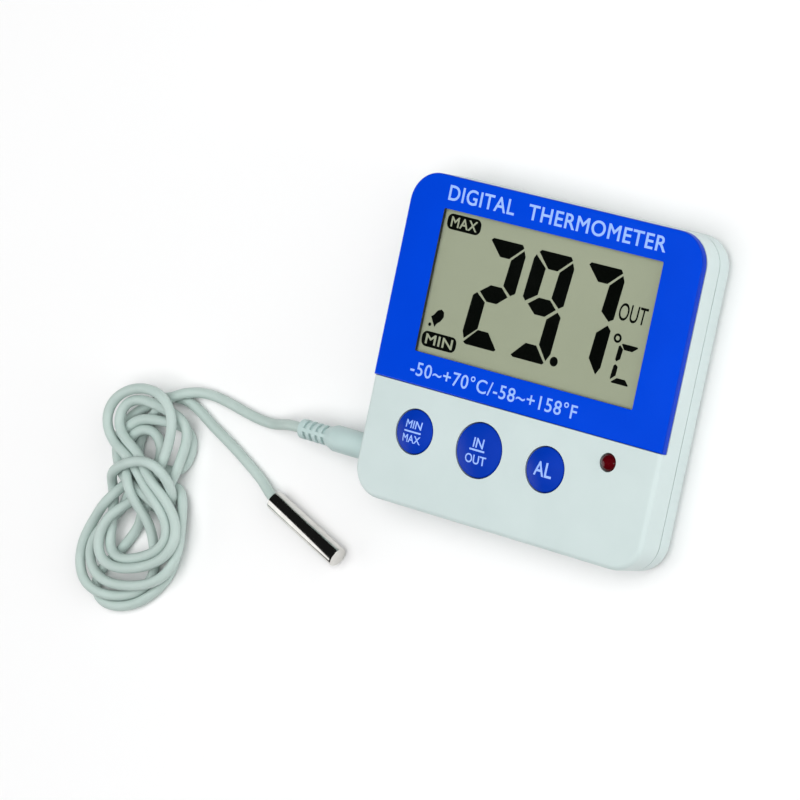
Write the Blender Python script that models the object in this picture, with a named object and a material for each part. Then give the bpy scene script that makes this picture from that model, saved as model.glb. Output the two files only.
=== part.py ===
"""Maximum-minimum thermometer with a plug-in probe, modelled piece by piece.

Metres, +Z up. The case lies on its back at z = 0 with its display facing +Z and its top edge
towards +Y; the origin is the middle of the case's back. The probe's plug is in its socket in the
left side, and its lead lies on the same surface, wound into a hank.
"""
import math

import bmesh
import bpy
from mathutils import Matrix, Vector

MM = 0.001
GAP = 0.3 * MM

# Case
CASE_W = 96 * MM
CASE_H = 90 * MM
CASE_D = 15.5 * MM
CORNER_R = 8.7 * MM
WALL = 1.8 * MM
BACK_EDGE_R = 3.7 * MM
FRONT_EDGE_R = 1.4 * MM
PART_LINE = 7.0 * MM
ARC_STEPS = 7

# Display lens and module
LENS_BOTTOM = -12.05 * MM
LENS_T = 2.0 * MM
LENS_LEDGE_T = 1.6 * MM
LCD_HALF_W = 37.6 * MM
LCD_LOW = -8.0 * MM
LCD_HIGH = 39.2 * MM
LCD_T = 2.8 * MM
LCD_TOP = CASE_D - 1.3 * MM
FRAME_HALF_W = 38.9 * MM
FRAME_LOW = -9.2 * MM
FRAME_HIGH = 40.4 * MM

# Front controls: name, centre x and hole radius, all on one row
KEY_ROW_Y = -24.5 * MM
KEYS = (
    ("key_min_max", -30.66 * MM, 6.3 * MM),
    ("key_in_out", -8.66 * MM, 7.65 * MM),
    ("key_alarm", 13.34 * MM, 6.3 * MM),
)
KEY_CROWN = 0.9 * MM
KEY_LIP = 0.55 * MM
LED_X = 32.2 * MM
LED_Y = -18.1 * MM
LED_R = 2.3 * MM

# Circuit board
BOARD_T = 1.2 * MM
BOARD_BOTTOM = 5.9 * MM
BOARD_TOP = BOARD_BOTTOM + BOARD_T
BOARD_HALF_W = 38.6 * MM
BOARD_LOW = -29.5 * MM
BOARD_HIGH = 41.0 * MM
BOARD_SCREW_X = 36.9 * MM
BOARD_SCREW_Y = (-6.6 * MM, 38.0 * MM)

# Case screws
SCREW_X = 42.2 * MM
SCREW_Y = (-14.0 * MM, 34.0 * MM)
BOSS_R = 3.2 * MM
FRONT_BOSS_R = 3.0 * MM
SCREW_HOLE_R = 1.25 * MM
SCREW_HEAD_HOLE_R = 2.2 * MM
SCREW_HEAD_HOLE_TOP = 2.6 * MM
FRAME_HOLE_R = 1.15 * MM
BOARD_HOLE_R = 1.2 * MM

# Hollow under the key deck
POCKET_HALF_W = 38.8 * MM
POCKET_TOP = -14.4 * MM

# Battery bay, for one AAA cell lying along X
CELL_R = 5.25 * MM
CELL_LOW_X = -22.0 * MM
CELL_HIGH_X = 22.5 * MM
CELL_Y = -36.9 * MM
CELL_Z = WALL + GAP + CELL_R
BAY_R = CELL_R + 0.2 * MM
BAY_WALL = 0.6 * MM
BAY_HALF_W = 26.6 * MM
BAY_LOW_X = -25.4 * MM
BAY_HIGH_X = 23.5 * MM
DOOR_HALF_W = 24.7 * MM
DOOR_TOP = -31.5 * MM

# Fold-out stand in the back
STAND_HALF_W = 8.0 * MM
STAND_LOW = -27.0 * MM
STAND_T = 1.7 * MM
HINGE_Y = 11.5 * MM
HINGE_Z = 1.25 * MM
HINGE_R = 1.05 * MM
PIN_R = 0.45 * MM
PIN_HALF_L = 9.6 * MM
PIN_PLAY = 0.2 * MM
STAND_PLAY = 0.4 * MM
STAND_RECESS_TOP = 2.45 * MM
STAND_RIM = 2.6 * MM
NOTCH_HALF_W = 3.5 * MM
NOTCH_TOP = 1.1 * MM

# Back fittings
KEYHOLE_Y = 27.0 * MM
KEYHOLE_R = 4.0 * MM
KEYHOLE_SLOT_R = 2.1 * MM
KEYHOLE_SLOT_Y = 34.0 * MM
SWITCH_X = -25.0 * MM
SWITCH_Y = 2.0 * MM
BUZZER_X = 24.0 * MM
BUZZER_Y = -18.0 * MM
SENSOR_X = 33.0 * MM
SENSOR_Y = 27.0 * MM
SWITCH_SLOT_HALF_W = 3.2 * MM
SWITCH_SLOT_HALF_H = 1.4 * MM
SWITCH_LOW = 3.3 * MM
WIRE_HOLE_R = 0.65 * MM
VENT_R = 0.7 * MM
VENT_PITCH = 2.6 * MM
LOUVRE_HALF_W = 4.0 * MM
LOUVRE_HALF_H = 0.6 * MM
GROOVE_HALF_W = 7.0 * MM
GROOVE_H = 0.7 * MM
GROOVE_PITCH = 1.6 * MM
GROOVE_DEPTH = 0.5 * MM

# Display frame and its contact strip
VIEW_HALF_W = 34.9 * MM
VIEW_LOW = -4.0 * MM
VIEW_HIGH = 36.0 * MM
STRIP_HALF_W = 32.7 * MM
STRIP_LOW = -7.6 * MM
STRIP_HIGH = -5.6 * MM
STRIP_PLAY = 0.3 * MM

# Keys, their switches and the parts under the board
KEY_STEM_R = 1.6 * MM
KEY_LIP_T = 0.4 * MM
TACT_HALF_W = 3.0 * MM
TACT_H = 3.4 * MM
TACT_BORE_R = 2.0 * MM
PLUNGER_R = 1.7 * MM
PLUNGER_LOW = 10.0 * MM
PLUNGER_TOP = 12.2 * MM
LED_LIP_R = LED_R + 0.2 * MM
LED_LIP_T = 1.0 * MM
LED_DROP = 1.15 * MM
CRYSTAL_R = 1.0 * MM
CRYSTAL_HALF_L = 3.0 * MM
CAPACITOR_R = 1.8 * MM
CAPACITOR_HALF_L = 2.8 * MM
BUZZER_R = 6.5 * MM
BUZZER_T = 2.8 * MM
BUZZER_HOLE_R = 1.2 * MM

# Socket, plug, lead and probe
JACK_Y = -33.3 * MM
JACK_Z = 7.7 * MM
JACK_HOLE_R = 3.3 * MM
COLLAR_R = 3.0 * MM
SOCKET_END_X = -35.6 * MM
PLUG_FACE_X = -CASE_W / 2 - 0.4 * MM
PLUG_END_X = -74.0 * MM
GRIP_L = 13.2 * MM
TAPER_L = 2.2 * MM
GRIP_R = 3.7 * MM
RELIEF_R = 2.8 * MM
RIB_PITCH = 2.2 * MM
RIB_GAP = 1.0 * MM
RIB_DEPTH = 0.8 * MM
SLEEVE_END_X = -43.2 * MM
INSULATOR_X = (-42.9 * MM, -42.3 * MM)
TIP_X = (-42.0 * MM, -39.9 * MM, -39.3 * MM, -38.6 * MM, -37.3 * MM)
PIN_BARREL_R = 1.25 * MM
CORD_R = 1.5 * MM
PROBE_R = 2.95 * MM
PROBE_END = Vector((-82.2 * MM, -55.65 * MM, 3.0 * MM))
PROBE_TIP = Vector((-56.5 * MM, -65.9 * MM, 3.0 * MM))
HANK_CENTRE = Vector((-129.5 * MM, -67.25 * MM, 0))
HANK_HALF_W = 17.0 * MM
HANK_HALF_L = 32.75 * MM
HANK_T = 12.5 * MM

# The uncoiled stretches of the lead, from the plug to the hank and from the hank to the probe
LEAD_ROUTE_MM = (
    (-74.4, -33.3, 7.7), (-77.0, -33.4, 7.5), (-80.5, -33.7, 6.5), (-84.0, -34.4, 5.0),
    (-88.0, -35.2, 2.5),
    (-92.0, -35.4, 1.5), (-97.0, -34.9, 1.5), (-103.0, -33.8, 1.5), (-109.0, -32.8, 1.5),
    (-114.5, -32.3, 1.6), (-118.5, -32.8, 1.8), (-122.0, -34.2, 2.2),
)
TAIL_ROUTE_MM = (
    (-118.0, -36.5, 1.6), (-114.0, -38.2, 1.5), (-109.0, -40.9, 1.5), (-103.0, -44.2, 1.5),
    (-97.0, -47.4, 1.5), (-91.0, -50.5, 1.6), (-86.5, -53.2, 2.3), (-83.0, -55.1, 2.9),
)

PALETTE = {
    "white_abs": ((0.66, 0.75, 0.73), 0.38, 0.0),
    "blue_lens": ((0.0, 0.06, 0.78), 0.08, 0.0),
    "blue_key": ((0.0, 0.03, 0.5), 0.35, 0.0),
    "lcd_grey": ((0.33, 0.37, 0.25), 0.25, 0.0),
    "led_red": ((0.12, 0.0, 0.005), 0.1, 0.0),
    "board_green": ((0.02, 0.16, 0.06), 0.45, 0.0),
    "black_plastic": ((0.012, 0.012, 0.013), 0.45, 0.0),
    "steel": ((0.62, 0.62, 0.6), 0.22, 1.0),
    "nickel": ((0.6, 0.6, 0.58), 0.25, 1.0),
    "rubber_grey": ((0.25, 0.25, 0.26), 0.7, 0.0),
    "cell_wrap": ((0.05, 0.25, 0.09), 0.3, 0.0),
    "red_wire": ((0.45, 0.01, 0.01), 0.45, 0.0),
    "cord_grey": ((0.5, 0.58, 0.55), 0.45, 0.0),
    "ceramic": ((0.7, 0.55, 0.3), 0.6, 0.0),
}


# --- scene and mesh helpers -----------------------------------------------------------------

def clear_scene():
    """Remove every object so that the script can run again in the same file."""
    for old in list(bpy.data.objects):
        bpy.data.objects.remove(old, do_unlink=True)


def finish_material(name):
    """Return the named finish from the palette, made on first use."""
    found = bpy.data.materials.get(name)
    if found:
        return found
    colour, roughness, metallic = PALETTE[name]
    made = bpy.data.materials.new(name)
    made.use_nodes = True
    shader = made.node_tree.nodes["Principled BSDF"]
    shader.inputs["Base Color"].default_value = (*colour, 1.0)
    shader.inputs["Roughness"].default_value = roughness
    shader.inputs["Metallic"].default_value = metallic
    return made


def mesh_from(bm, name):
    """Turn a bmesh into a mesh whose faces point outwards."""
    bmesh.ops.recalc_face_normals(bm, faces=bm.faces)
    mesh = bpy.data.meshes.new(name)
    bm.to_mesh(mesh)
    bm.free()
    return mesh


def skin(rings, name="skin"):
    """Close a stack of rings of equal length into one solid."""
    bm = bmesh.new()
    loops = [[bm.verts.new(point) for point in ring] for ring in rings]
    count = len(rings[0])
    for low, high in zip(loops, loops[1:]):
        for i in range(count):
            j = (i + 1) % count
            bm.faces.new((low[i], low[j], high[j], high[i]))
    bm.faces.new(list(reversed(loops[0])))
    bm.faces.new(loops[-1])
    return mesh_from(bm, name)


def slab(outline, low, high):
    """Extrude a flat outline between two heights."""
    return skin([[(x, y, z) for x, y in outline] for z in (low, high)])


def box(low, high):
    """Make a box between two corners."""
    (x0, y0, z0), (x1, y1, z1) = low, high
    return slab([(x0, y0), (x1, y0), (x1, y1), (x0, y1)], z0, z1)


def turned(profile, centre=(0, 0, 0), steps=24, axis="Z"):
    """Turn a profile of (radius, height) points, which starts and ends on the axis."""
    bm = bmesh.new()
    loops = []
    for radius, height in profile:
        if radius == 0:
            loops.append([bm.verts.new((0, 0, height))])
            continue
        angles = [2 * math.pi * i / steps for i in range(steps)]
        loops.append([
            bm.verts.new((radius * math.cos(a), radius * math.sin(a), height)) for a in angles
        ])
    for low, high in zip(loops, loops[1:]):
        for i in range(steps):
            j = (i + 1) % steps
            corners = [low[i % len(low)], low[j % len(low)], high[j % len(high)], high[i % len(high)]]
            bm.faces.new(list(dict.fromkeys(corners)))
    mesh = mesh_from(bm, "turned")
    if axis == "X":
        mesh.transform(Matrix.Rotation(math.pi / 2, 4, "Y"))
    mesh.transform(Matrix.Translation(centre))
    return mesh


def rod(radius, low, high, centre=(0, 0, 0), steps=24, axis="Z"):
    """Make a plain cylinder between two heights along an axis."""
    return turned([(0, low), (radius, low), (radius, high), (0, high)], centre, steps, axis)


def arc(cx, cy, radius, start, end, steps=ARC_STEPS):
    """Return points along an arc, with angles in degrees."""
    points = []
    for i in range(steps + 1):
        angle = math.radians(start + (end - start) * i / steps)
        points.append((cx + radius * math.cos(angle), cy + radius * math.sin(angle)))
    return points


def rounded_outline(half_w, low, high, radius_low, radius_high):
    """Return a rectangle's outline with rounded lower and upper corners."""
    outline = []
    for sign_x, y, radius, start in (
        (1, low, radius_low, -90), (1, high, radius_high, 0),
        (-1, high, radius_high, 90), (-1, low, radius_low, 180),
    ):
        if radius == 0:
            outline.append((sign_x * half_w, y))
            continue
        centre_y = y + radius if y == low else y - radius
        outline += arc(sign_x * (half_w - radius), centre_y, radius, start, start + 90)
    return outline


def case_ring(z, inset):
    """Return the case's outline at one height, moved inwards by the inset."""
    outline = rounded_outline(
        CASE_W / 2 - inset, -CASE_H / 2 + inset, CASE_H / 2 - inset,
        CORNER_R - inset, CORNER_R - inset,
    )
    return [(x, y, z) for x, y in outline]


def edge_levels(z_edge, radius, direction, steps=5):
    """Return (height, inset) pairs of a rounded edge, from the side wall to the flat face."""
    levels = []
    for i in range(steps + 1):
        angle = math.pi / 2 * i / steps
        z = z_edge - direction * radius * (1 - math.sin(angle))
        levels.append((z, radius * (1 - math.cos(angle))))
    return levels


def piece(name, mesh, finish, smooth=30):
    """Add a named piece made of one finish, with its round faces shaded smooth."""
    mesh.name = name
    obj = bpy.data.objects.new(name, mesh)
    bpy.context.scene.collection.objects.link(obj)
    dress(obj, finish, smooth)
    return obj


def dress(obj, finish, smooth=30):
    """Give a piece its finish and its shading."""
    obj.data.materials.clear()
    obj.data.materials.append(finish_material(finish))
    obj.data.shade_smooth()
    obj.data.set_sharp_from_angle(angle=math.radians(smooth))


def combine(obj, tools, operation="DIFFERENCE"):
    """Cut the tool meshes out of a piece, or join them to it."""
    finish = obj.data.materials[0].name
    for tool in tools:
        helper = bpy.data.objects.new("helper", tool)
        bpy.context.scene.collection.objects.link(helper)
        modifier = obj.modifiers.new("combine", "BOOLEAN")
        modifier.operation = operation
        modifier.solver = "EXACT"
        modifier.object = helper
        depsgraph = bpy.context.evaluated_depsgraph_get()
        result = bpy.data.meshes.new_from_object(obj.evaluated_get(depsgraph))
        obj.modifiers.clear()
        obj.data = result
        bpy.data.objects.remove(helper, do_unlink=True)
    obj.data.name = obj.name
    dress(obj, finish)


# --- case ------------------------------------------------------------------------------------

def jack_bore():
    """Return the round hole that both shells share around the socket's collar."""
    return rod(JACK_HOLE_R, -CASE_W / 2 - WALL, -CASE_W / 2 + 2.2 * WALL, (0, JACK_Y, JACK_Z), 28, "X")


def make_front_shell():
    """Front shell: a raised key deck below and a stepped seat for the lens above."""
    base = PART_LINE + GAP
    levels = [(base, 0)] + edge_levels(CASE_D, FRONT_EDGE_R, 1, 4)
    shell = piece("front_shell", skin([case_ring(z, inset) for z, inset in levels]), "white_abs")
    seat = CASE_D - LENS_T - GAP
    roof = seat - LENS_LEDGE_T
    step_y = LENS_BOTTOM - GAP
    far = CASE_W
    cuts = [
        box((-far, step_y, seat), (far, far, CASE_D + WALL)),
        skin([case_ring(z, WALL) for z in (base - WALL, roof)]),
        box((-POCKET_HALF_W, -CASE_H / 2 + 2 * MM, base),
            (POCKET_HALF_W, POCKET_TOP, CASE_D - WALL)),
        box((-FRAME_HALF_W - GAP, FRAME_LOW - GAP, roof - WALL),
            (FRAME_HALF_W + GAP, FRAME_HIGH + GAP, CASE_D)),
        rod(LED_R + 0.25 * MM, base, CASE_D + WALL, (LED_X, LED_Y, 0), 20),
        jack_bore(),
    ]
    for _, x, radius in KEYS:
        cuts.append(rod(radius, CASE_D - 2 * WALL, CASE_D + WALL, (x, KEY_ROW_Y, 0), 32))
    combine(shell, cuts)
    spots = [(side * SCREW_X, y) for side in (-1, 1) for y in SCREW_Y]
    combine(shell, [rod(FRONT_BOSS_R, base, roof + WALL / 4, (x, y, 0), 16) for x, y in spots], "UNION")
    combine(shell, [rod(SCREW_HOLE_R, base - WALL, roof - WALL / 5, (x, y, 0), 12) for x, y in spots])


def back_blank(name):
    """Return the plain lower tray that the back shell and its battery door are cut from."""
    levels = list(reversed(edge_levels(0, BACK_EDGE_R, -1))) + [(PART_LINE, 0)]
    tray = piece(name, skin([case_ring(z, inset) for z, inset in levels]), "white_abs")
    hollow = [(WALL, BACK_EDGE_R), (BACK_EDGE_R, WALL), (PART_LINE + WALL, WALL)]
    combine(tray, [skin([case_ring(z, inset) for z, inset in hollow])])
    return tray


def arch(radius, x_low, x_high, foot):
    """Return a tunnel over the battery cell: an arch on straight legs, along X."""
    section = arc(CELL_Y, CELL_Z, radius, 0, 180, 12)
    section = [(CELL_Y + radius, foot)] + section + [(CELL_Y - radius, foot)]
    return skin([[(x, y, z) for y, z in section] for x in (x_low, x_high)])


def make_back_shell():
    """Back shell with battery bay, stand recess, keyhole, vents and screw bosses."""
    shell = back_blank("back_shell")
    spots = [(side * SCREW_X, y) for side in (-1, 1) for y in SCREW_Y]
    low_floor = WALL / 2
    additions = [rod(BOSS_R, low_floor, PART_LINE, (x, y, 0), 20) for x, y in spots]
    additions.append(box(
        (-STAND_HALF_W - STAND_RIM, STAND_LOW - 1.6 * MM, low_floor),
        (STAND_HALF_W + STAND_RIM, HINGE_Y + 4.4 * MM, 4.0 * MM),
    ))
    additions.append(arch(BAY_R + BAY_WALL, -BAY_HALF_W, BAY_HALF_W, low_floor))
    combine(shell, additions, "UNION")
    opening = DOOR_HALF_W + GAP
    bottom = -CASE_H / 2
    cuts = [
        arch(BAY_R, BAY_LOW_X, BAY_HIGH_X, WALL),
        box((-opening, bottom - WALL, -WALL), (opening, DOOR_TOP + GAP, WALL + GAP)),
        box((-opening, bottom - WALL, -WALL), (opening, bottom + 4 * MM, BACK_EDGE_R + GAP)),
        box((-opening, bottom - WALL, -WALL), (opening, bottom + WALL + 0.2 * MM, CASE_D)),
        box((-STAND_HALF_W - STAND_PLAY, STAND_LOW - STAND_PLAY, -WALL),
            (STAND_HALF_W + STAND_PLAY, HINGE_Y + HINGE_R + 0.5 * MM, STAND_RECESS_TOP)),
        rod(PIN_R + PIN_PLAY, -PIN_HALF_L - 0.3 * MM, PIN_HALF_L + 0.3 * MM,
            (0, HINGE_Y, HINGE_Z), 12, "X"),
        box((-NOTCH_HALF_W, STAND_LOW - 4.2 * MM, -WALL),
            (NOTCH_HALF_W, STAND_LOW + 1 * MM, NOTCH_TOP)),
        rod(KEYHOLE_R, -WALL, 2 * WALL, (0, KEYHOLE_Y, 0), 24),
        slab(keyhole_slot(), -WALL, 2 * WALL),
        box((SWITCH_X - SWITCH_SLOT_HALF_W, SWITCH_Y - SWITCH_SLOT_HALF_H, -WALL),
            (SWITCH_X + SWITCH_SLOT_HALF_W, SWITCH_Y + SWITCH_SLOT_HALF_H, 2 * WALL)),
        rod(WIRE_HOLE_R, -BAY_HALF_W - WALL, BAY_LOW_X + WALL, (0, CELL_Y, CELL_Z), 12, "X"),
        rod(WIRE_HOLE_R, BAY_HIGH_X - WALL, BAY_HALF_W + WALL, (0, CELL_Y, CELL_Z), 12, "X"),
        jack_bore(),
    ]
    for x, y in spots:
        cuts.append(rod(SCREW_HEAD_HOLE_R, -WALL, SCREW_HEAD_HOLE_TOP, (x, y, 0), 16))
        cuts.append(rod(SCREW_HOLE_R, 0, PART_LINE + WALL, (x, y, 0), 12))
    for ring_count, ring_r in ((1, 0), (6, VENT_PITCH)):
        for i in range(ring_count):
            a = 2 * math.pi * i / ring_count
            centre = (BUZZER_X + ring_r * math.cos(a), BUZZER_Y + ring_r * math.sin(a), 0)
            cuts.append(rod(VENT_R, -WALL, 2 * WALL, centre, 10))
    for i in range(4):
        y = SENSOR_Y + (i - 1.5) * VENT_PITCH
        cuts.append(box((SENSOR_X - LOUVRE_HALF_W, y - LOUVRE_HALF_H, -WALL),
                        (SENSOR_X + LOUVRE_HALF_W, y + LOUVRE_HALF_H, 2 * WALL)))
    combine(shell, cuts)


def keyhole_slot():
    """Return the narrow upper slot of the hanging keyhole as an outline."""
    top = arc(0, KEYHOLE_SLOT_Y, KEYHOLE_SLOT_R, 0, 180, 8)
    return [(-KEYHOLE_SLOT_R, KEYHOLE_Y), (KEYHOLE_SLOT_R, KEYHOLE_Y)] + top


def make_battery_door():
    """Battery door: the part of the tray's floor and lower edge that slides off downwards."""
    door = back_blank("battery_door")
    bottom = -CASE_H / 2
    keep = box((-DOOR_HALF_W, bottom - WALL, -WALL), (DOOR_HALF_W, DOOR_TOP, PART_LINE + WALL))
    combine(door, [keep], "INTERSECT")
    grooves = []
    for i in range(4):
        y = bottom + 5.2 * MM + i * GROOVE_PITCH
        grooves.append(box((-GROOVE_HALF_W, y, -WALL), (GROOVE_HALF_W, y + GROOVE_H, GROOVE_DEPTH)))
    combine(door, grooves)


def screw_mesh(head_r, head_t, shank_r, length):
    """Return a pan-head screw standing on its head, with a cross recess below."""
    profile = [
        (0, 0), (head_r * 0.8, 0), (head_r, head_t * 0.35), (head_r, head_t), (shank_r, head_t),
        (shank_r, length - shank_r), (0, length),
    ]
    screw = piece("screw_blank", turned(profile, steps=14), "steel")
    arm = head_r * 0.55
    slot = head_r * 0.13
    depth = head_t * 0.5
    combine(screw, [
        box((-arm, -slot, -head_t), (arm, slot, depth)),
        box((-slot, -arm, -head_t), (slot, arm, depth)),
    ])
    mesh = screw.data
    bpy.data.objects.remove(screw, do_unlink=True)
    return mesh


def make_screws():
    """Four case screws from behind, and four board screws into the display frame."""
    case_mesh = screw_mesh(1.9 * MM, 1.4 * MM, 1.0 * MM, 9.6 * MM)
    board_mesh = screw_mesh(1.6 * MM, 1.0 * MM, 0.85 * MM, 5.0 * MM)
    sets = (
        ("case_screw", case_mesh, SCREW_X, SCREW_Y, 0.9 * MM),
        ("board_screw", board_mesh, BOARD_SCREW_X, BOARD_SCREW_Y, BOARD_BOTTOM - GAP - 1.0 * MM),
    )
    for stem, mesh, reach, rows, z in sets:
        for number, (side, y) in enumerate((s, y) for y in rows for s in (-1, 1)):
            screw = piece(f"{stem}_{number + 1}", mesh, "steel")
            screw.location = (side * reach, y, z)


# --- display ---------------------------------------------------------------------------------

def make_display():
    """Lens over the whole upper front, display module, its frame and its contact strip."""
    chamfer = 0.35 * MM
    rings = []
    for z, inset in ((CASE_D - LENS_T, 0), (CASE_D - chamfer, 0), (CASE_D, chamfer)):
        outline = rounded_outline(
            CASE_W / 2 - inset, LENS_BOTTOM + inset, CASE_H / 2 - inset, 0, CORNER_R - inset)
        rings.append([(x, y, z) for x, y in outline])
    lens = piece("display_lens", skin(rings), "blue_lens")
    combine(lens, [box((-FRAME_HALF_W - GAP, FRAME_LOW - GAP, CASE_D - 2 * LENS_T),
                       (FRAME_HALF_W + GAP, FRAME_HIGH + GAP, CASE_D - LENS_T / 2))])
    lcd_bottom = LCD_TOP - LCD_T
    panel = box((-LCD_HALF_W, LCD_LOW, lcd_bottom), (LCD_HALF_W, LCD_HIGH, LCD_TOP))
    piece("lcd_panel", panel, "lcd_grey")
    frame_base = BOARD_TOP + GAP
    frame_top = CASE_D - LENS_T - GAP
    frame = piece("lcd_frame", box((-FRAME_HALF_W, FRAME_LOW, frame_base),
                                   (FRAME_HALF_W, FRAME_HIGH, frame_top)), "black_plastic")
    cuts = [
        box((-LCD_HALF_W - GAP, LCD_LOW - GAP, lcd_bottom - GAP),
            (LCD_HALF_W + GAP, LCD_HIGH + GAP, CASE_D)),
        box((-VIEW_HALF_W, VIEW_LOW, 0), (VIEW_HALF_W, VIEW_HIGH, CASE_D)),
        box((-STRIP_HALF_W - STRIP_PLAY, STRIP_LOW - STRIP_PLAY, 0),
            (STRIP_HALF_W + STRIP_PLAY, STRIP_HIGH + STRIP_PLAY, CASE_D)),
    ]
    for side in (-1, 1):
        for y in BOARD_SCREW_Y:
            cuts.append(rod(FRAME_HOLE_R, 0, frame_base + 3 * MM, (side * BOARD_SCREW_X, y, 0), 12))
    combine(frame, cuts)
    strip = box((-STRIP_HALF_W, STRIP_LOW, frame_base),
                (STRIP_HALF_W, STRIP_HIGH, lcd_bottom - GAP))
    piece("contact_strip", strip, "rubber_grey")


# --- keys, light and circuit -----------------------------------------------------------------

def make_keys():
    """Three domed keys, each over a tact switch with its own plunger."""
    switch_base = BOARD_TOP + GAP
    switch_top = switch_base + TACT_H
    lip_top = CASE_D - WALL - GAP
    for name, x, hole_r in KEYS:
        outer = hole_r - GAP
        edge = 0.5 * MM
        shoulder = CASE_D + 0.1 * MM
        profile = [
            (0, PLUNGER_TOP + GAP), (KEY_STEM_R, PLUNGER_TOP + GAP),
            (KEY_STEM_R, lip_top - KEY_LIP_T), (outer + KEY_LIP, lip_top - KEY_LIP_T),
            (outer + KEY_LIP, lip_top), (outer, lip_top),
            (outer, shoulder - edge), (outer - 0.15 * edge, shoulder - 0.4 * edge),
            (outer - 0.6 * edge, shoulder), (outer * 0.7, shoulder + 0.6 * KEY_CROWN),
            (outer * 0.35, shoulder + 0.9 * KEY_CROWN), (0, shoulder + KEY_CROWN),
        ]
        key = piece(name, turned(profile, steps=28), "blue_key")
        key.location = (x, KEY_ROW_Y, 0)
        stem = name.replace("key", "tact")
        case = box((-TACT_HALF_W, -TACT_HALF_W, switch_base), (TACT_HALF_W, TACT_HALF_W, switch_top))
        body = piece(f"{stem}_body", case, "black_plastic")
        combine(body, [rod(TACT_BORE_R, switch_top - 2.0 * MM, switch_top + WALL, steps=16)])
        body.location = (x, KEY_ROW_Y, 0)
        plunger = piece(f"{stem}_plunger", rod(PLUNGER_R, PLUNGER_LOW, PLUNGER_TOP, steps=16),
                        "rubber_grey")
        plunger.location = (x, KEY_ROW_Y, 0)


def make_led():
    """Alarm light: a domed lamp that stands on the board and looks out of the deck."""
    foot = BOARD_TOP + 0.5 * MM
    dome_base = CASE_D - LED_DROP
    profile = [(0, foot), (LED_LIP_R, foot), (LED_LIP_R, foot + LED_LIP_T), (LED_R, foot + LED_LIP_T)]
    for i in range(6):
        a = math.pi / 2 * i / 5
        profile.append((LED_R * math.cos(a) if i < 5 else 0, dome_base + LED_R * math.sin(a)))
    lamp = piece("alarm_led", turned(profile, steps=20), "led_red")
    lamp.location = (LED_X, LED_Y, 0)


def make_board():
    """Circuit board and the larger components on it."""
    board = piece("circuit_board", box((-BOARD_HALF_W, BOARD_LOW, BOARD_BOTTOM),
                                       (BOARD_HALF_W, BOARD_HIGH, BOARD_TOP)), "board_green")
    holes = [(side * BOARD_SCREW_X, y) for side in (-1, 1) for y in BOARD_SCREW_Y]
    combine(board, [rod(BOARD_HOLE_R, 0, CASE_D, (x, y, 0), 12) for x, y in holes])
    under = BOARD_BOTTOM - GAP
    blob = [(0, under - 1.0 * MM), (2.6 * MM, under - 0.9 * MM), (4.6 * MM, under - 0.5 * MM),
            (5.4 * MM, under), (0, under)]
    piece("processor_blob", turned(blob, (18 * MM, 10 * MM, 0), 20), "black_plastic")
    crystal = rod(CRYSTAL_R, -CRYSTAL_HALF_L, CRYSTAL_HALF_L,
                  (-18 * MM, 16 * MM, under - CRYSTAL_R), 14, "X")
    piece("clock_crystal", crystal, "nickel")
    capacitor = rod(CAPACITOR_R, -CAPACITOR_HALF_L, CAPACITOR_HALF_L,
                    (-20 * MM, -20 * MM, under - CAPACITOR_R), 16, "X")
    piece("capacitor", capacitor, "black_plastic")
    disc = rod(BUZZER_R, under - BUZZER_T, under, (BUZZER_X, BUZZER_Y, 0), 28)
    buzzer = piece("buzzer", disc, "black_plastic")
    combine(buzzer, [rod(BUZZER_HOLE_R, 0, under - 2.0 * MM, (BUZZER_X, BUZZER_Y, 0), 14)])
    bead = [(0, under - 3.0 * MM), (0.8 * MM, under - 2.8 * MM), (1.2 * MM, under - 1.9 * MM),
            (0.8 * MM, under - 1.0 * MM), (0.35 * MM, under - 0.8 * MM), (0.35 * MM, under),
            (0, under)]
    piece("room_thermistor", turned(bead, (SENSOR_X, SENSOR_Y, 0), 14), "ceramic")


def make_unit_switch():
    """Slide switch that picks the unit, worked through a slot in the back."""
    top = BOARD_BOTTOM - GAP
    low = SWITCH_LOW
    body = piece("unit_switch_body", box((SWITCH_X - 4.3 * MM, SWITCH_Y - 1.8 * MM, low),
                                         (SWITCH_X + 4.3 * MM, SWITCH_Y + 1.8 * MM, top)), "nickel")
    combine(body, [box((SWITCH_X - 2.9 * MM, SWITCH_Y - 1.1 * MM, low - WALL),
                       (SWITCH_X + 2.9 * MM, SWITCH_Y + 1.1 * MM, low + 1.2 * MM))])
    knob = box((SWITCH_X - 1.9 * MM, SWITCH_Y - 0.8 * MM, 0.5 * MM),
               (SWITCH_X - 0.1 * MM, SWITCH_Y + 0.8 * MM, low + 0.9 * MM))
    piece("unit_switch_knob", knob, "black_plastic")


# --- battery ---------------------------------------------------------------------------------

def cord_tube(name, points, radius, finish, step, bevel_resolution=2):
    """Make a tube on a smooth curve through the route's points, with closed ends."""
    samples = smooth_route([Vector(p) for p in points], step)
    curve = bpy.data.curves.new(name, "CURVE")
    curve.dimensions = "3D"
    curve.bevel_depth = radius
    curve.bevel_resolution = bevel_resolution
    curve.use_fill_caps = True
    spline = curve.splines.new("POLY")
    spline.points.add(len(samples) - 1)
    for point, sample in zip(spline.points, samples):
        point.co = (*sample, 1)
    obj = bpy.data.objects.new(name, curve)
    bpy.context.scene.collection.objects.link(obj)
    curve.materials.append(finish_material(finish))
    return obj


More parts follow.
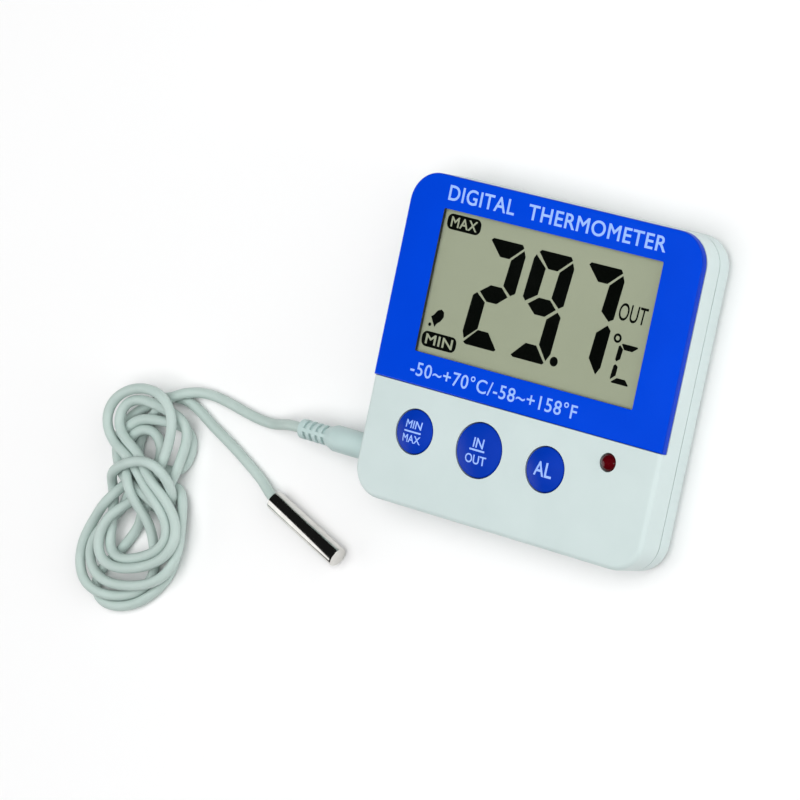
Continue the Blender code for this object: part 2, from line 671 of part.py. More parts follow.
def smooth_route(points, step):
    """Sample a Catmull-Rom curve through the points about every step."""
    padded = [2 * points[0] - points[1]] + points + [2 * points[-1] - points[-2]]
    samples = []
    for a, b, c, d in zip(padded, padded[1:], padded[2:], padded[3:]):
        count = max(1, round((c - b).length / step))
        for i in range(count):
            t = i / count
            samples.append(0.5 * ((2 * b) + (c - a) * t + (2 * a - 5 * b + 4 * c - d) * t * t
                                  + (3 * b - a - 3 * c + d) * t * t * t))
    return samples + [points[-1]]


def make_battery():
    """AAA cell with a sprung contact on the left and a plate contact on the right."""
    nub_x = CELL_HIGH_X - 0.8 * MM
    bevel = 0.4 * MM
    cell = [(0, CELL_LOW_X), (CELL_R - bevel, CELL_LOW_X), (CELL_R, CELL_LOW_X + bevel),
            (CELL_R, nub_x - bevel), (CELL_R - bevel, nub_x), (1.9 * MM, nub_x),
            (1.9 * MM, CELL_HIGH_X), (0, CELL_HIGH_X)]
    piece("aaa_cell", turned(cell, (0, CELL_Y, CELL_Z), 28, "X"), "cell_wrap")
    half = 3.4 * MM
    plate_t = 0.35 * MM
    pin_end = BAY_HALF_W + 0.5 * MM
    for side, name, x in ((-1, "battery_contact_negative", BAY_LOW_X + 0.25 * MM),
                          (1, "battery_contact_positive", BAY_HIGH_X - 0.25 * MM - plate_t)):
        plate = piece(name, box((x, CELL_Y - half, CELL_Z - half),
                                (x + plate_t, CELL_Y + half, CELL_Z + half)), "nickel")
        reach = sorted((x + plate_t / 2, side * pin_end))
        combine(plate, [rod(0.35 * MM, *reach, (0, CELL_Y, CELL_Z), 10, "X")], "UNION")
    turns = 3
    steps = 14 * turns
    start_x = BAY_LOW_X + 1.25 * MM
    end_x = CELL_LOW_X - 0.55 * MM
    coil = []
    for i in range(steps + 1):
        t = i / steps
        a = 2 * math.pi * turns * t
        r = (2.8 - 1.0 * t) * MM
        coil.append((start_x + (end_x - start_x) * t, CELL_Y + r * math.cos(a),
                     CELL_Z + r * math.sin(a)))
    cord_tube("battery_spring", coil, 0.25 * MM, "steel", 2 * MM, 1)
    for side, name, finish in ((1, "battery_wire_positive", "red_wire"),
                               (-1, "battery_wire_negative", "black_plastic")):
        route = [(side * (pin_end + GAP), CELL_Y, CELL_Z),
                 (side * (pin_end + 2.0 * MM), CELL_Y + 1.0 * MM, CELL_Z - 0.8 * MM),
                 (side * (pin_end + 3.0 * MM), CELL_Y + 4.5 * MM, 5.6 * MM),
                 (side * (pin_end + 2.6 * MM), CELL_Y + 7.5 * MM, 5.0 * MM),
                 (side * (pin_end + 2.2 * MM), CELL_Y + 10.0 * MM, 5.05 * MM)]
        cord_tube(name, route, 0.45 * MM, finish, 1.5 * MM, 1)


# --- stand -----------------------------------------------------------------------------------

def make_stand():
    """Fold-out leg on a steel pin, lying flush in its recess."""
    low = HINGE_Z - STAND_T / 2 - 0.1 * MM
    leg = rounded_outline(STAND_HALF_W, STAND_LOW, HINGE_Y, 2.5 * MM, 0)
    stand = piece("fold_out_stand", slab(leg, low, low + STAND_T), "white_abs")
    barrel = rod(HINGE_R, -STAND_HALF_W, STAND_HALF_W, (0, HINGE_Y, HINGE_Z), 20, "X")
    combine(stand, [barrel], "UNION")
    window = rounded_outline(4.6 * MM, STAND_LOW + 8 * MM, HINGE_Y - 6 * MM, 1.5 * MM, 1.5 * MM)
    reach = 2 * STAND_HALF_W
    bore = rod(PIN_R + PIN_PLAY, -reach, reach, (0, HINGE_Y, HINGE_Z), 12, "X")
    combine(stand, [slab(window, -WALL, 2 * WALL), bore])
    stand.data.transform(Matrix.Translation((0, -HINGE_Y, -HINGE_Z)))
    stand.location = (0, HINGE_Y, HINGE_Z)
    pin = rod(PIN_R, -PIN_HALF_L, PIN_HALF_L, (0, HINGE_Y, HINGE_Z), 12, "X")
    piece("stand_pin", pin, "steel")


# --- socket, plug, lead and probe ------------------------------------------------------------

def make_socket():
    """Socket for the probe's plug, with its collar in the case's left wall."""
    half = 3.3 * MM
    inner_x = SOCKET_END_X
    body = piece("jack_socket", box((-CASE_W / 2 + WALL + GAP, JACK_Y - half, JACK_Z - half),
                                    (inner_x, JACK_Y + half, JACK_Z + half)), "black_plastic")
    collar = rod(COLLAR_R, -CASE_W / 2 + GAP, inner_x - 2 * MM, (0, JACK_Y, JACK_Z), 28, "X")
    combine(body, [collar], "UNION")
    bore = rod(PIN_BARREL_R + 0.25 * MM, -CASE_W, inner_x - 1.2 * MM, (0, JACK_Y, JACK_Z), 20, "X")
    combine(body, [bore])
    for i in range(2):
        x = inner_x - (0.9 + 3.0 * i) * MM
        lug = box((x - 0.6 * MM, JACK_Y + half + GAP, BOARD_TOP + GAP),
                  (x + 0.6 * MM, BOARD_LOW + 2.5 * MM, BOARD_TOP + 0.7 * MM))
        piece(f"jack_lug_{i + 1}", lug, "nickel")


def make_plug():
    """Moulded plug with a ribbed strain relief, and its three-piece contact pin."""
    face = PLUG_FACE_X
    taper_end = face - GRIP_L - TAPER_L
    outline = [(0, face), (GRIP_R - 0.3 * MM, face), (GRIP_R, face - 0.3 * MM),
               (GRIP_R, face - GRIP_L), (GRIP_R - 0.35 * MM, face - GRIP_L - 1.0 * MM),
               (RELIEF_R + 0.1 * MM, taper_end)]
    groove_r = RELIEF_R - RIB_DEPTH
    for i in range(4):
        x = taper_end - 0.6 * MM - i * RIB_PITCH
        outline += [(RELIEF_R, x), (groove_r, x), (groove_r, x - RIB_GAP), (RELIEF_R, x - RIB_GAP)]
    outline += [(RELIEF_R - 0.1 * MM, PLUG_END_X), (0, PLUG_END_X)]
    profile = list(reversed(outline))
    piece("plug_moulding", turned(profile, (0, JACK_Y, JACK_Z), 24, "X"), "cord_grey")
    r = PIN_BARREL_R
    tip_low, tip_waist, waist, tip_crown, tip_end = TIP_X
    lengths = (
        ("plug_sleeve", "nickel",
         [(0, face + GAP), (r, face + GAP), (r, SLEEVE_END_X), (0, SLEEVE_END_X)]),
        ("plug_insulator", "black_plastic",
         [(0, INSULATOR_X[0]), (r, INSULATOR_X[0]), (r, INSULATOR_X[1]), (0, INSULATOR_X[1])]),
        ("plug_tip", "nickel",
         [(0, tip_low), (r, tip_low), (r, tip_waist), (0.75 * r, waist), (r, tip_crown),
          (0, tip_end)]),
    )
    for name, finish, section in lengths:
        piece(name, turned(section, (0, JACK_Y, JACK_Z), 20, "X"), finish)


def make_cord():
    """Lead in three solids: from the plug, the hank, and on to the probe."""
    for name, route in (("cord_lead", LEAD_ROUTE_MM), ("cord_tail", TAIL_ROUTE_MM)):
        points = [(x * MM, y * MM, z * MM) for x, y, z in route]
        cord_tube(name, points, CORD_R, "cord_grey", 5 * CORD_R, 2)
    straight = HANK_HALF_L - HANK_HALF_W
    outline = arc(0, straight, HANK_HALF_W, 0, 180, 16) + arc(0, -straight, HANK_HALF_W, 180, 360, 16)
    edge = 2.5 * MM
    rings = []
    for z, scale in ((0, 0.9), (edge, 1.0), (HANK_T - edge, 1.0), (HANK_T, 0.88)):
        rings.append([(HANK_CENTRE.x + x * scale, HANK_CENTRE.y + y * scale, z) for x, y in outline])
    piece("cord_hank", skin(rings), "cord_grey")


def make_probe():
    """Steel probe sleeve, open at the lead's end, with the sensor potted inside."""
    along = PROBE_TIP - PROBE_END
    length = along.length
    chamfer = 0.45 * MM
    bore_r = 2.2 * MM
    sleeve = [
        (0, 3.0 * MM), (bore_r, 3.0 * MM), (bore_r, 0), (PROBE_R - 0.2 * MM, 0),
        (PROBE_R, 0.25 * MM), (PROBE_R, length - chamfer), (PROBE_R - chamfer, length), (0, length),
    ]
    plug_r = bore_r - 0.25 * MM
    potting = [(0, 0.9 * MM), (plug_r, 0.9 * MM), (plug_r, 2.6 * MM), (0, 2.6 * MM)]
    turn = Vector((0, 0, 1)).rotation_difference(along).to_matrix().to_4x4()
    for name, section, finish in (("probe_sleeve", sleeve, "steel"),
                                  ("probe_potting", potting, "ceramic")):
        obj = piece(name, turned(section, steps=28), finish)
        obj.matrix_world = Matrix.Translation(PROBE_END) @ turn


clear_scene()
make_front_shell()
make_back_shell()
make_battery_door()
make_screws()
make_display()
make_keys()
make_led()
make_board()
make_unit_switch()
make_battery()
make_stand()
make_socket()
make_plug()
make_cord()
make_probe()
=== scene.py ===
"""Looks of the maximum-minimum thermometer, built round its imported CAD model.

Metres, +Z up. The case lies on its back at z = 0 with its display facing +Z; the lead and the
probe lie beside it on the same surface.
"""
import math

import bmesh
import bpy
import numpy as np
from mathutils import Matrix, Vector


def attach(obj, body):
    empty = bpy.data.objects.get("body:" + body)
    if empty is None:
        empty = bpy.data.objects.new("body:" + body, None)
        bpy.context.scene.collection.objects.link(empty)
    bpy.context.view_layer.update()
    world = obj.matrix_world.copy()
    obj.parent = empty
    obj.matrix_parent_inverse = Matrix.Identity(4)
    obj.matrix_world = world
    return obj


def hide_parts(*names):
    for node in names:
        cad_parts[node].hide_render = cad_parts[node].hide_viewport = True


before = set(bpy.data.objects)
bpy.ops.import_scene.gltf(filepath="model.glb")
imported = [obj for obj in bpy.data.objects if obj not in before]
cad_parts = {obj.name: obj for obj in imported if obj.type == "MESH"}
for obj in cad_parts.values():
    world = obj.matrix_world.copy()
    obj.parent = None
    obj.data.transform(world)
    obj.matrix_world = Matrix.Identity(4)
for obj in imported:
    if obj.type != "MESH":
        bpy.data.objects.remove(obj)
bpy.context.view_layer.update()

MM = 0.001
GAP = 0.3 * MM  # between pieces that must not touch

# Case, as in the CAD source
CASE_W = 96 * MM
CASE_H = 90 * MM
CASE_D = 15.5 * MM
CORNER_R = 8.7 * MM
WALL = 1.8 * MM
BACK_EDGE_R = 3.7 * MM
FRONT_EDGE_R = 1.4 * MM
PART_LINE = 7.0 * MM
LENS_BOTTOM = -12.05 * MM
LENS_T = 2.0 * MM
LENS_LEDGE_T = 1.6 * MM
LCD_TOP = CASE_D - 1.3 * MM
FRAME_HALF_W = 38.9 * MM
FRAME_LOW = -9.2 * MM
FRAME_HIGH = 40.4 * MM
WINDOW = (-36.1 * MM, 36.1 * MM, -3.2 * MM, 36.1 * MM)
KEY_ROW_Y = -24.5 * MM
KEYS = (  # name, body, x, radius of its hole
    ("key_min_max", "min_max_button", -30.66 * MM, 6.3 * MM),
    ("key_in_out", "in_out_button", -8.66 * MM, 7.65 * MM),
    ("key_alarm", "alarm_button", 13.34 * MM, 6.3 * MM),
)
KEY_CROWN = 0.9 * MM
KEY_LIP = 0.55 * MM
KEY_SHOULDER = CASE_D + 0.1 * MM
KEY_EDGE = 0.45 * MM
LED_X = 32.2 * MM
LED_Y = -18.1 * MM
LED_R = 2.3 * MM
SCREW_X = 42.2 * MM
SCREW_SPOTS = [(x, y) for x in (-SCREW_X, SCREW_X) for y in (-14.0 * MM, 34.0 * MM)]
PILOT_R = 1.25 * MM
BOSS_R = 3.2 * MM
CELL_R = 5.25 * MM
CELL_Y = -36.9 * MM
CELL_Z = WALL + GAP + CELL_R
BAY_R = CELL_R + 0.2 * MM
BAY_WALL = 0.6 * MM
BAY_HALF_W = 26.6 * MM
BAY_LOW_X = -25.4 * MM
BAY_HIGH_X = 23.5 * MM
DOOR_HALF_W = 24.7 * MM
DOOR_TOP = -31.5 * MM
STAND_HALF_W = 8.0 * MM
STAND_LOW = -27.0 * MM
STAND_T = 1.7 * MM
HINGE_Y = 11.5 * MM
HINGE_Z = 1.25 * MM
HINGE_R = 1.05 * MM
PIN_HOLE_R = 0.65 * MM
KEYHOLE_Y = 27.0 * MM
KEYHOLE_R = 4.0 * MM
KEYHOLE_SLOT_R = 2.1 * MM
KEYHOLE_SLOT_Y = 34.0 * MM
SWITCH_X = -25.0 * MM
SWITCH_Y = 2.0 * MM
BUZZER_X = 24.0 * MM
BUZZER_Y = -18.0 * MM
SENSOR_X = 33.0 * MM
SENSOR_Y = 27.0 * MM
JACK_Y = -33.3 * MM
JACK_Z = 7.7 * MM
PLUG_FACE_X = -CASE_W / 2 - 0.4 * MM
PLUG_END_X = -74.0 * MM
PROBE_R = 2.95 * MM
PROBE_END = Vector((-82.2 * MM, -55.65 * MM, 3.0 * MM))
PROBE_TIP = Vector((-56.5 * MM, -65.9 * MM, 3.0 * MM))

# Camera: where it looks, from how far, and its turn about its own line of sight
LOOK_AT = Vector((-37.55 * MM, -17.277 * MM, 15.5 * MM))
CAMERA_DISTANCE = 1076.32 * MM
CAMERA_AZIMUTH = 99.4214
CAMERA_ELEVATION = 53.35
CAMERA_ROLL = -85.7674
CAMERA_LENS = 179.125

# Cord: its size, and how it settles (shares are of a whole correction, in one pass)
CORD_D = 3.0 * MM
CORD_STEP = 1.5 * MM
CORD_MIN_BEND = 7.0 * MM  # aimed at; strands that push on each other still bend tighter
TRACE_STEP = 1.0 * MM
ROUNDS = 200
PASSES = 3
SEARCH_EVERY = 5
HELD = 5
OWN_REACH = 2.4  # diameters along the cord within which its points don't count as touching
PULL = 0.1
LAST_PULL = 0.002
SINK = 0.006 * MM
EASE_SHARE = 0.3
FAIR_SHARE = 0.2
PUSH_SPREAD = 7  # times that a push between strands is smoothed along the cord, so none kinks
PUSH_SHARE = 1.2  # above 1, because the smoothing lowers a push's peak
TINY = 1e-12

# The lead's route in millimetres, from the plug to the probe. In the hank, top_ and loop_ are the
# turns at its two ends, up_ and down_ cross its waist, and wrap and under go round the waist.
LEAD_MM = (
    (-73.3, -33.3, 7.7), (-75.2, -33.3, 7.7), (-77.5, -33.4, 7.4), (-80.5, -33.7, 6.3),
    (-84, -34.4, 5), (-88, -35.2, 2.5), (-92, -35.4, 1.5), (-97, -34.9, 1.5),
    (-103, -33.8, 1.5), (-109, -32.8, 1.5), (-114.5, -32.4, 1.9), (-118.5, -32.9, 2.7),
    (-121.6, -34, 3.6),
)
HANK_MM = (
    # enter
    (-123.8, -35.4, 4.2), (-127.1, -37.6, 4.4), (-130.8, -40.8, 3.2), (-133.9, -44.8, 1.6),
    (-135.4, -49.4, 1.5), (-135.6, -54, 1.5), (-133.4, -58.4, 1.5), (-128.8, -61.2, 1.5),
    (-123.4, -61, 1.5), (-118.6, -60.7, 2), (-115.2, -62.8, 3.2), (-114, -67.3, 3.6),
    # loop_b
    (-113.1, -73.1, 3.6), (-112.8, -79.1, 4), (-114, -84.6, 4.4), (-118.5, -88.8, 4.6),
    (-124.9, -91.4, 4.6), (-130.9, -92.6, 4.6), (-136.9, -92.6, 4.6), (-141.5, -90.4, 4.6),
    (-143.8, -86, 4.5), (-143.2, -80.6, 4.5), (-140.7, -75.4, 4.4), (-137.2, -70.6, 4.2),
    # up_d
    (-133.6, -66.4, 4.2), (-130.4, -61.6, 4.2), (-128.1, -56.9, 4),
    # top_d
    (-126.5, -53.1, 3.6), (-126.4, -49.7, 3.4), (-128.3, -47, 3.6), (-131.4, -46.1, 4),
    (-135, -47.1, 4.2), (-138, -50, 4.4), (-138.9, -53.9, 5),
    # down_e
    (-136.5, -58, 6), (-130.9, -61.7, 6.8), (-127.8, -67, 5.8), (-124.2, -72.2, 4.8),
    (-122, -76.8, 4.2),
    # loop_a
    (-121.4, -82.2, 2.6), (-121.1, -87.2, 1.6), (-122.8, -91.4, 1.5), (-127.3, -94.5, 1.7),
    (-132.1, -96.2, 2.4), (-137.2, -96.9, 3.4), (-142, -95.6, 4.2), (-145.7, -92.2, 4.4),
    (-147.1, -87.4, 4.6), (-146.2, -81.8, 4.8), (-143.2, -75.7, 5), (-139.6, -69.9, 5),
    (-136.6, -65.3, 5),
    # up_c
    (-134.2, -61.7, 5), (-129.3, -59, 4.6), (-122, -58.6, 4.5), (-117.9, -56.5, 3.6),
    # top_c
    (-116.7, -51.9, 2.4), (-116.3, -47.7, 1.8), (-117.6, -44.5, 1.8), (-122, -43.2, 2.6),
    (-126.3, -43.7, 3.6), (-130.3, -43.7, 4.4), (-134.2, -44.9, 4.8), (-137.6, -48.3, 5),
    (-140.1, -52.5, 5.2),
    # down_a
    (-138.3, -57.3, 5.5), (-132.9, -61.3, 5.5), (-126.3, -64.5, 5.5), (-120, -67.3, 5),
    (-116.4, -70.7, 3.4),
    # loop_e
    (-114.6, -75.7, 1.8), (-114, -81, 1.5), (-115.6, -86.6, 1.5), (-119.2, -91.4, 1.5),
    (-124, -95.6, 1.5), (-129.6, -98.6, 1.5), (-135.4, -99.6, 1.5), (-140.6, -98, 1.5),
    (-142, -93.6, 1.5), (-139.4, -89, 1.5), (-135.6, -84.6, 1.5), (-132.2, -79.2, 1.5),
    (-128.8, -73.3, 1.8),
    # up_b
    (-125.2, -68.2, 3.2), (-121.4, -63.6, 4.2), (-118.6, -59.2, 4.6),
    # top_b
    (-117.5, -54.4, 4.6), (-116.9, -49, 4.6), (-116.5, -44.8, 4.6), (-118.2, -41.9, 4.8),
    (-122, -40.3, 5.6), (-126.8, -39.1, 6.4), (-131.7, -38.6, 6.8), (-136.5, -39.3, 6.8),
    (-140.1, -41.3, 6.6), (-141.5, -44.6, 6.4), (-140, -48.2, 6.4), (-135.9, -51.5, 6.8),
    (-131, -54.4, 8),
    # down_c
    (-126.4, -57.3, 8.8), (-122.2, -60.7, 8.6), (-118.2, -64, 7.8), (-114.8, -67.5, 7),
    # loop_c
    (-112.5, -71.9, 6.6), (-112.2, -76.6, 6.4), (-115, -80.8, 6.4), (-120.1, -84.1, 6.6),
    (-126.1, -86.5, 6.8), (-132.2, -87.5, 7), (-137.2, -86.5, 7), (-139.7, -82.9, 6.8),
    (-139.2, -78.4, 6.2), (-137.2, -74.1, 5.6), (-135, -69.9, 5),
    # up_a
    (-131.7, -65.6, 4.6), (-127.4, -61.2, 4.8), (-123.4, -56.6, 6.2),
    # top_a
    (-120.6, -52, 8), (-119.7, -47.1, 8.6), (-119.7, -42.9, 8.8), (-121.3, -38.9, 9),
    (-124.8, -36, 9.2), (-129.4, -35, 9.2), (-134.7, -35.7, 9), (-139.6, -37.9, 8.6),
    (-143.4, -41.4, 8), (-145.1, -45.6, 7.6), (-143.5, -49.8, 7.6), (-139.4, -53.2, 7.8),
    (-134.5, -55.9, 8.4),
    # down_d
    (-129.6, -58.9, 8.8), (-125.2, -62.1, 8.6), (-120.8, -65.2, 8), (-117.1, -68.6, 7.4),
    # loop_d
    (-115, -72.5, 7), (-115.5, -76.7, 6.8), (-119.4, -80.4, 6.4), (-124.9, -83.2, 6),
    (-130.4, -84.9, 5.6), (-135.4, -84.5, 5), (-137.4, -81.4, 4.8), (-137.3, -77, 4.6),
    (-136.9, -72.4, 4.6),
    # wrap
    (-138.1, -68, 4.6), (-137.6, -63.6, 6.2), (-134.5, -59.7, 8.4), (-130.1, -56.7, 10.4),
    (-125.1, -55, 11.4), (-120.9, -55.2, 11.4), (-118.4, -57.1, 10.2), (-117.2, -60.4, 8),
    (-117.5, -63.9, 5.4), (-119.8, -67, 2.8),
    # under
    (-124.2, -68.2, 1.5), (-129.8, -67.4, 1.5), (-135.6, -65, 1.5), (-140.2, -61.6, 1.5),
    (-143.2, -57.4, 1.5), (-144.2, -52.4, 1.5), (-143, -47.8, 1.5), (-139.8, -44, 1.5),
    (-135.6, -40.8, 1.5), (-130.8, -37.8, 1.5), (-126.6, -36.1, 1.5), (-122.6, -35.9, 1.5),
)
TAIL_MM = (
    (-118, -36.9, 1.5), (-114, -39.1, 1.5), (-109, -41.6, 1.5), (-103, -44.2, 1.5),
    (-97, -47.4, 1.5), (-91, -50.5, 1.6), (-86.5, -53.2, 2.3), (-83, -55.3, 2.95),
    (-81, -56.1, 3),
)


# --- camera and cord --------------------

def placed(name, data):
    """Add an object with this data to the scene."""
    obj = bpy.data.objects.new(name, data)
    bpy.context.scene.collection.objects.link(obj)
    return obj


def make_camera():
    """Stand the camera at the view in which the thermometer is shown."""
    a, e, roll = (math.radians(v) for v in (CAMERA_AZIMUTH, CAMERA_ELEVATION, CAMERA_ROLL))
    back = Vector((math.sin(a) * math.cos(e), -math.cos(a) * math.cos(e), math.sin(e)))
    level = Vector((math.cos(a), math.sin(a), 0))
    rise = back.cross(level)
    right = math.cos(roll) * level + math.sin(roll) * rise
    up = back.cross(right)
    data = bpy.data.cameras.new("camera")
    data.lens = CAMERA_LENS
    data.clip_start, data.clip_end = 0.05, 20.0
    camera = placed("camera", data)
    camera.matrix_world = Matrix.Translation(LOOK_AT + CAMERA_DISTANCE * back) @ Matrix(
        (right, up, back)).transposed().to_4x4()
    bpy.context.scene.camera = camera


def through(points, step):
    """Sample a Catmull-Rom curve through the points."""
    padded = np.vstack([2 * points[0] - points[1], points, 2 * points[-1] - points[-2]])
    parts = []
    for a, b, c, d in zip(padded, padded[1:], padded[2:], padded[3:]):
        count = max(1, round(np.linalg.norm(c - b) / step))
        t = (np.arange(count) / count)[:, None]
        parts.append(0.5 * (2 * b + (c - a) * t + (2 * a - 5 * b + 4 * c - d) * t * t
                            + (3 * b - a - 3 * c + d) * t ** 3))
    return np.vstack(parts + [points[-1:]])


def evenly(line, step):
    """Return the same line with its points a fixed step apart."""
    along = np.r_[0, np.cumsum(np.linalg.norm(np.diff(line, axis=0), axis=1))]
    places = np.linspace(0, along[-1], round(along[-1] / step) + 1)
    return np.stack([np.interp(places, along, line[:, k]) for k in range(3)], axis=1)


def to_middle(values):
    """Return the way from each row to the middle of its neighbours, and 0 for the two end rows."""
    way = np.zeros_like(values)
    way[1:-1] = 0.5 * (values[:-2] + values[2:]) - values[1:-1]
    return way


def settle(aim):
    """Let a laid cord settle, with its ends held: turns rest on each other and on the surface."""
    line = aim.copy()
    count = len(line)
    apart = round(OWN_REACH * CORD_D / CORD_STEP)
    sharpest = CORD_STEP ** 2 / (2 * CORD_MIN_BEND)
    for k in range(ROUNDS):
        late = k / ROUNDS
        line += (PULL * (1 - late) + LAST_PULL) * (aim - line)
        line[:, 2] -= SINK * late
        for _ in range(PASSES):
            bend = to_middle(line)
            size = np.linalg.norm(bend, axis=1)[:, None] + TINY
            line += EASE_SHARE * bend * np.clip(1 - sharpest / size, 0, 1)
            line -= FAIR_SHARE * to_middle(bend)
        if k % SEARCH_EVERY == 0:
            gaps = np.linalg.norm(line[:, None] - line[None], axis=2)
            first, second = np.nonzero(np.triu(gaps < 2 * CORD_D, apart))
        for _ in range(PASSES):
            reach = line[first] - line[second]
            gap = np.linalg.norm(reach, axis=1) + TINY
            overlap = np.clip(CORD_D - gap, 0, None) / gap
            push = np.zeros_like(line)
            np.add.at(push, first, reach * overlap[:, None])
            np.add.at(push, second, -reach * overlap[:, None])
            touching = np.ones(count)
            np.add.at(touching, first, overlap > 0)
            np.add.at(touching, second, overlap > 0)
            push /= np.sqrt(touching)[:, None]
            for _ in range(PUSH_SPREAD):
                push[1:-1] = 0.25 * push[:-2] + 0.5 * push[1:-1] + 0.25 * push[2:]
            line += PUSH_SHARE * push
            line[:, 2] = np.maximum(line[:, 2], CORD_D / 2)
        line[:HELD] = aim[:HELD]
        line[count - HELD:] = aim[count - HELD:]
    return line


def make_cord(finish):
    """Make the lead as one curve, from inside the plug's relief to inside the probe."""
    route = np.array(LEAD_MM + HANK_MM + TAIL_MM) * MM
    line = settle(evenly(through(route, TRACE_STEP), CORD_STEP))
    curve = bpy.data.curves.new("lead_cord", "CURVE")
    curve.dimensions = "3D"
    curve.bevel_depth = CORD_D / 2
    curve.bevel_resolution = 4
    curve.resolution_u = 2
    curve.use_fill_caps = True
    spline = curve.splines.new("NURBS")
    spline.points.add(len(line) - 1)
    for point, place in zip(spline.points, line):
        point.co = (*place, 1)
    spline.order_u = 4
    spline.use_endpoint_u = True
    cord = placed("lead_cord", curve)
    curve.materials.append(finish)
    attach(cord, "probe_lead")
    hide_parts("cord_lead", "cord_hank", "cord_tail")
    return cord, float(np.linalg.norm(np.diff(line, axis=0), axis=1).sum())


# --- finishes --------------------

TONE_SPAN = (0.3, 0.7)  # of the noise, from the dark tone to the light one
GLOSS_SPAN = (0.85, 1.15)  # times the roughness
BUMP_STRENGTH = 0.35


def noise_of(tree, place, scale, detail):
    """Add a noise texture in the object's own metres and return its value socket."""
    noise = tree.nodes.new("ShaderNodeTexNoise")
    noise.inputs["Scale"].default_value = scale
    noise.inputs["Detail"].default_value = detail
    tree.links.new(place.outputs["Object"], noise.inputs["Vector"])
    return noise.outputs["Fac"]


def finish_of(name, dark, light, roughness, drift=70, grain=2500, bump=0.02, **sockets):
    """Make a procedural finish whose colour drifts and gloss wanders, with a grain in relief."""
    finish = bpy.data.materials.new(name)
    finish.use_nodes = True
    tree = finish.node_tree
    nodes, links = tree.nodes, tree.links
    shader = nodes["Principled BSDF"]
    place = nodes.new("ShaderNodeTexCoord")
    ramp = nodes.new("ShaderNodeValToRGB")
    for element, position, tone in zip(ramp.color_ramp.elements, TONE_SPAN, (dark, light)):
        element.position = position
        element.color = (*tone, 1)
    links.new(noise_of(tree, place, drift, 4.0), ramp.inputs["Fac"])
    links.new(ramp.outputs["Color"], shader.inputs["Base Color"])
    gloss = nodes.new("ShaderNodeMapRange")
    gloss.inputs["To Min"].default_value = roughness * GLOSS_SPAN[0]
    gloss.inputs["To Max"].default_value = roughness * GLOSS_SPAN[1]
    fine = noise_of(tree, place, grain, 2.0)
    links.new(noise_of(tree, place, drift * 4, 3.0), gloss.inputs["Value"])
    links.new(gloss.outputs["Result"], shader.inputs["Roughness"])
    relief = nodes.new("ShaderNodeBump")
    relief.inputs["Strength"].default_value = BUMP_STRENGTH
    relief.inputs["Distance"].default_value = bump * MM
    links.new(fine, relief.inputs["Height"])
    links.new(relief.outputs["Normal"], shader.inputs["Normal"])
    for socket, value in sockets.items():
        shader.inputs[socket.replace("_", " ")].default_value = value
    return finish


FINISHES = {  # name: dark tone, light tone, roughness, settings
    "shell_white": ((0.555, 0.65, 0.64), (0.585, 0.68, 0.67), 0.36,
                    dict(grain=1800, bump=0.03, Coat_Weight=0.15, Coat_Roughness=0.2)),
    "lens_blue": ((0.0, 0.052, 0.64), (0.0, 0.058, 0.69), 0.09,
                  dict(drift=40, bump=0.002, Coat_Weight=0.4, Coat_Roughness=0.03)),
    # lens_edge_painted_shade: a darker blue than lens_blue, painted shade on the lens's rounded
    # edge faces
    "lens_edge_painted_shade": ((0.0, 0.036, 0.46), (0.0, 0.042, 0.52), 0.3,
                  dict(drift=60, bump=0.002, Specular_IOR_Level=0.12)),
    # window_wall_painted_shade: near-black painted shade on the walls of the lens's window,
    # standing in for the shade in that recess
    "window_wall_painted_shade": ((0.012, 0.016, 0.01), (0.03, 0.035, 0.02), 0.4, {}),
    "pane_clear": ((0.02, 0.025, 0.02), (0.03, 0.035, 0.03), 0.03,
                   dict(bump=0.001, Alpha=0.02, Specular_IOR_Level=0.3)),
    "lcd_face": ((0.320, 0.352, 0.250), (0.337, 0.369, 0.264), 0.45,
                 dict(drift=25, grain=3500, bump=0.004, Specular_IOR_Level=0.15)),
    "lcd_ink": ((0.001, 0.0015, 0.001), (0.002, 0.0025, 0.002), 0.6, dict(Specular_IOR_Level=0.0)),
    "lcd_glass": ((0.2, 0.24, 0.17), (0.26, 0.3, 0.22), 0.1, {}),
    "print_pale": ((0.29, 0.46, 0.92), (0.33, 0.5, 1.0), 0.4, dict(drift=300)),
    "key_blue": ((0.0, 0.031, 0.37), (0.0, 0.035, 0.41), 0.34,
                 dict(grain=1800, bump=0.02, Specular_IOR_Level=0.15)),
    "led_red": ((0.055, 0.0, 0.002), (0.08, 0.001, 0.003), 0.12,
                dict(drift=400, bump=0.002, Specular_IOR_Level=0.35)),
    "board_green": ((0.012, 0.12, 0.045), (0.03, 0.19, 0.075), 0.4,
                    dict(drift=500, grain=1500, bump=0.02)),
    "black_plastic": ((0.01, 0.01, 0.011), (0.018, 0.018, 0.019), 0.42, dict(drift=200)),
    "steel": ((0.55, 0.55, 0.53), (0.66, 0.66, 0.64), 0.2,
              dict(drift=600, bump=0.004, Metallic=1.0)),
    "nickel": ((0.56, 0.55, 0.52), (0.66, 0.65, 0.62), 0.22,
               dict(drift=500, bump=0.004, Metallic=1.0)),
    "probe_steel": ((0.60, 0.59, 0.56), (0.70, 0.69, 0.66), 0.13,
                    dict(drift=350, grain=900, bump=0.003, Metallic=1.0)),
    "rubber_grey": ((0.2, 0.2, 0.21), (0.29, 0.29, 0.3), 0.65, dict(drift=400, bump=0.05)),
    "cell_wrap": ((0.035, 0.2, 0.07), (0.06, 0.28, 0.1), 0.28, dict(drift=150)),
    "red_wire": ((0.38, 0.008, 0.008), (0.5, 0.014, 0.012), 0.42, dict(drift=500)),
    "cord_grey": ((0.45, 0.55, 0.515), (0.49, 0.59, 0.555), 0.42,
                  dict(drift=160, grain=1600, bump=0.04)),
    "plug_grey": ((0.47, 0.595, 0.58), (0.505, 0.635, 0.62), 0.4,
                  dict(drift=160, grain=1600, bump=0.04)),
    "ceramic": ((0.62, 0.48, 0.24), (0.74, 0.6, 0.34), 0.6, dict(drift=900)),
}


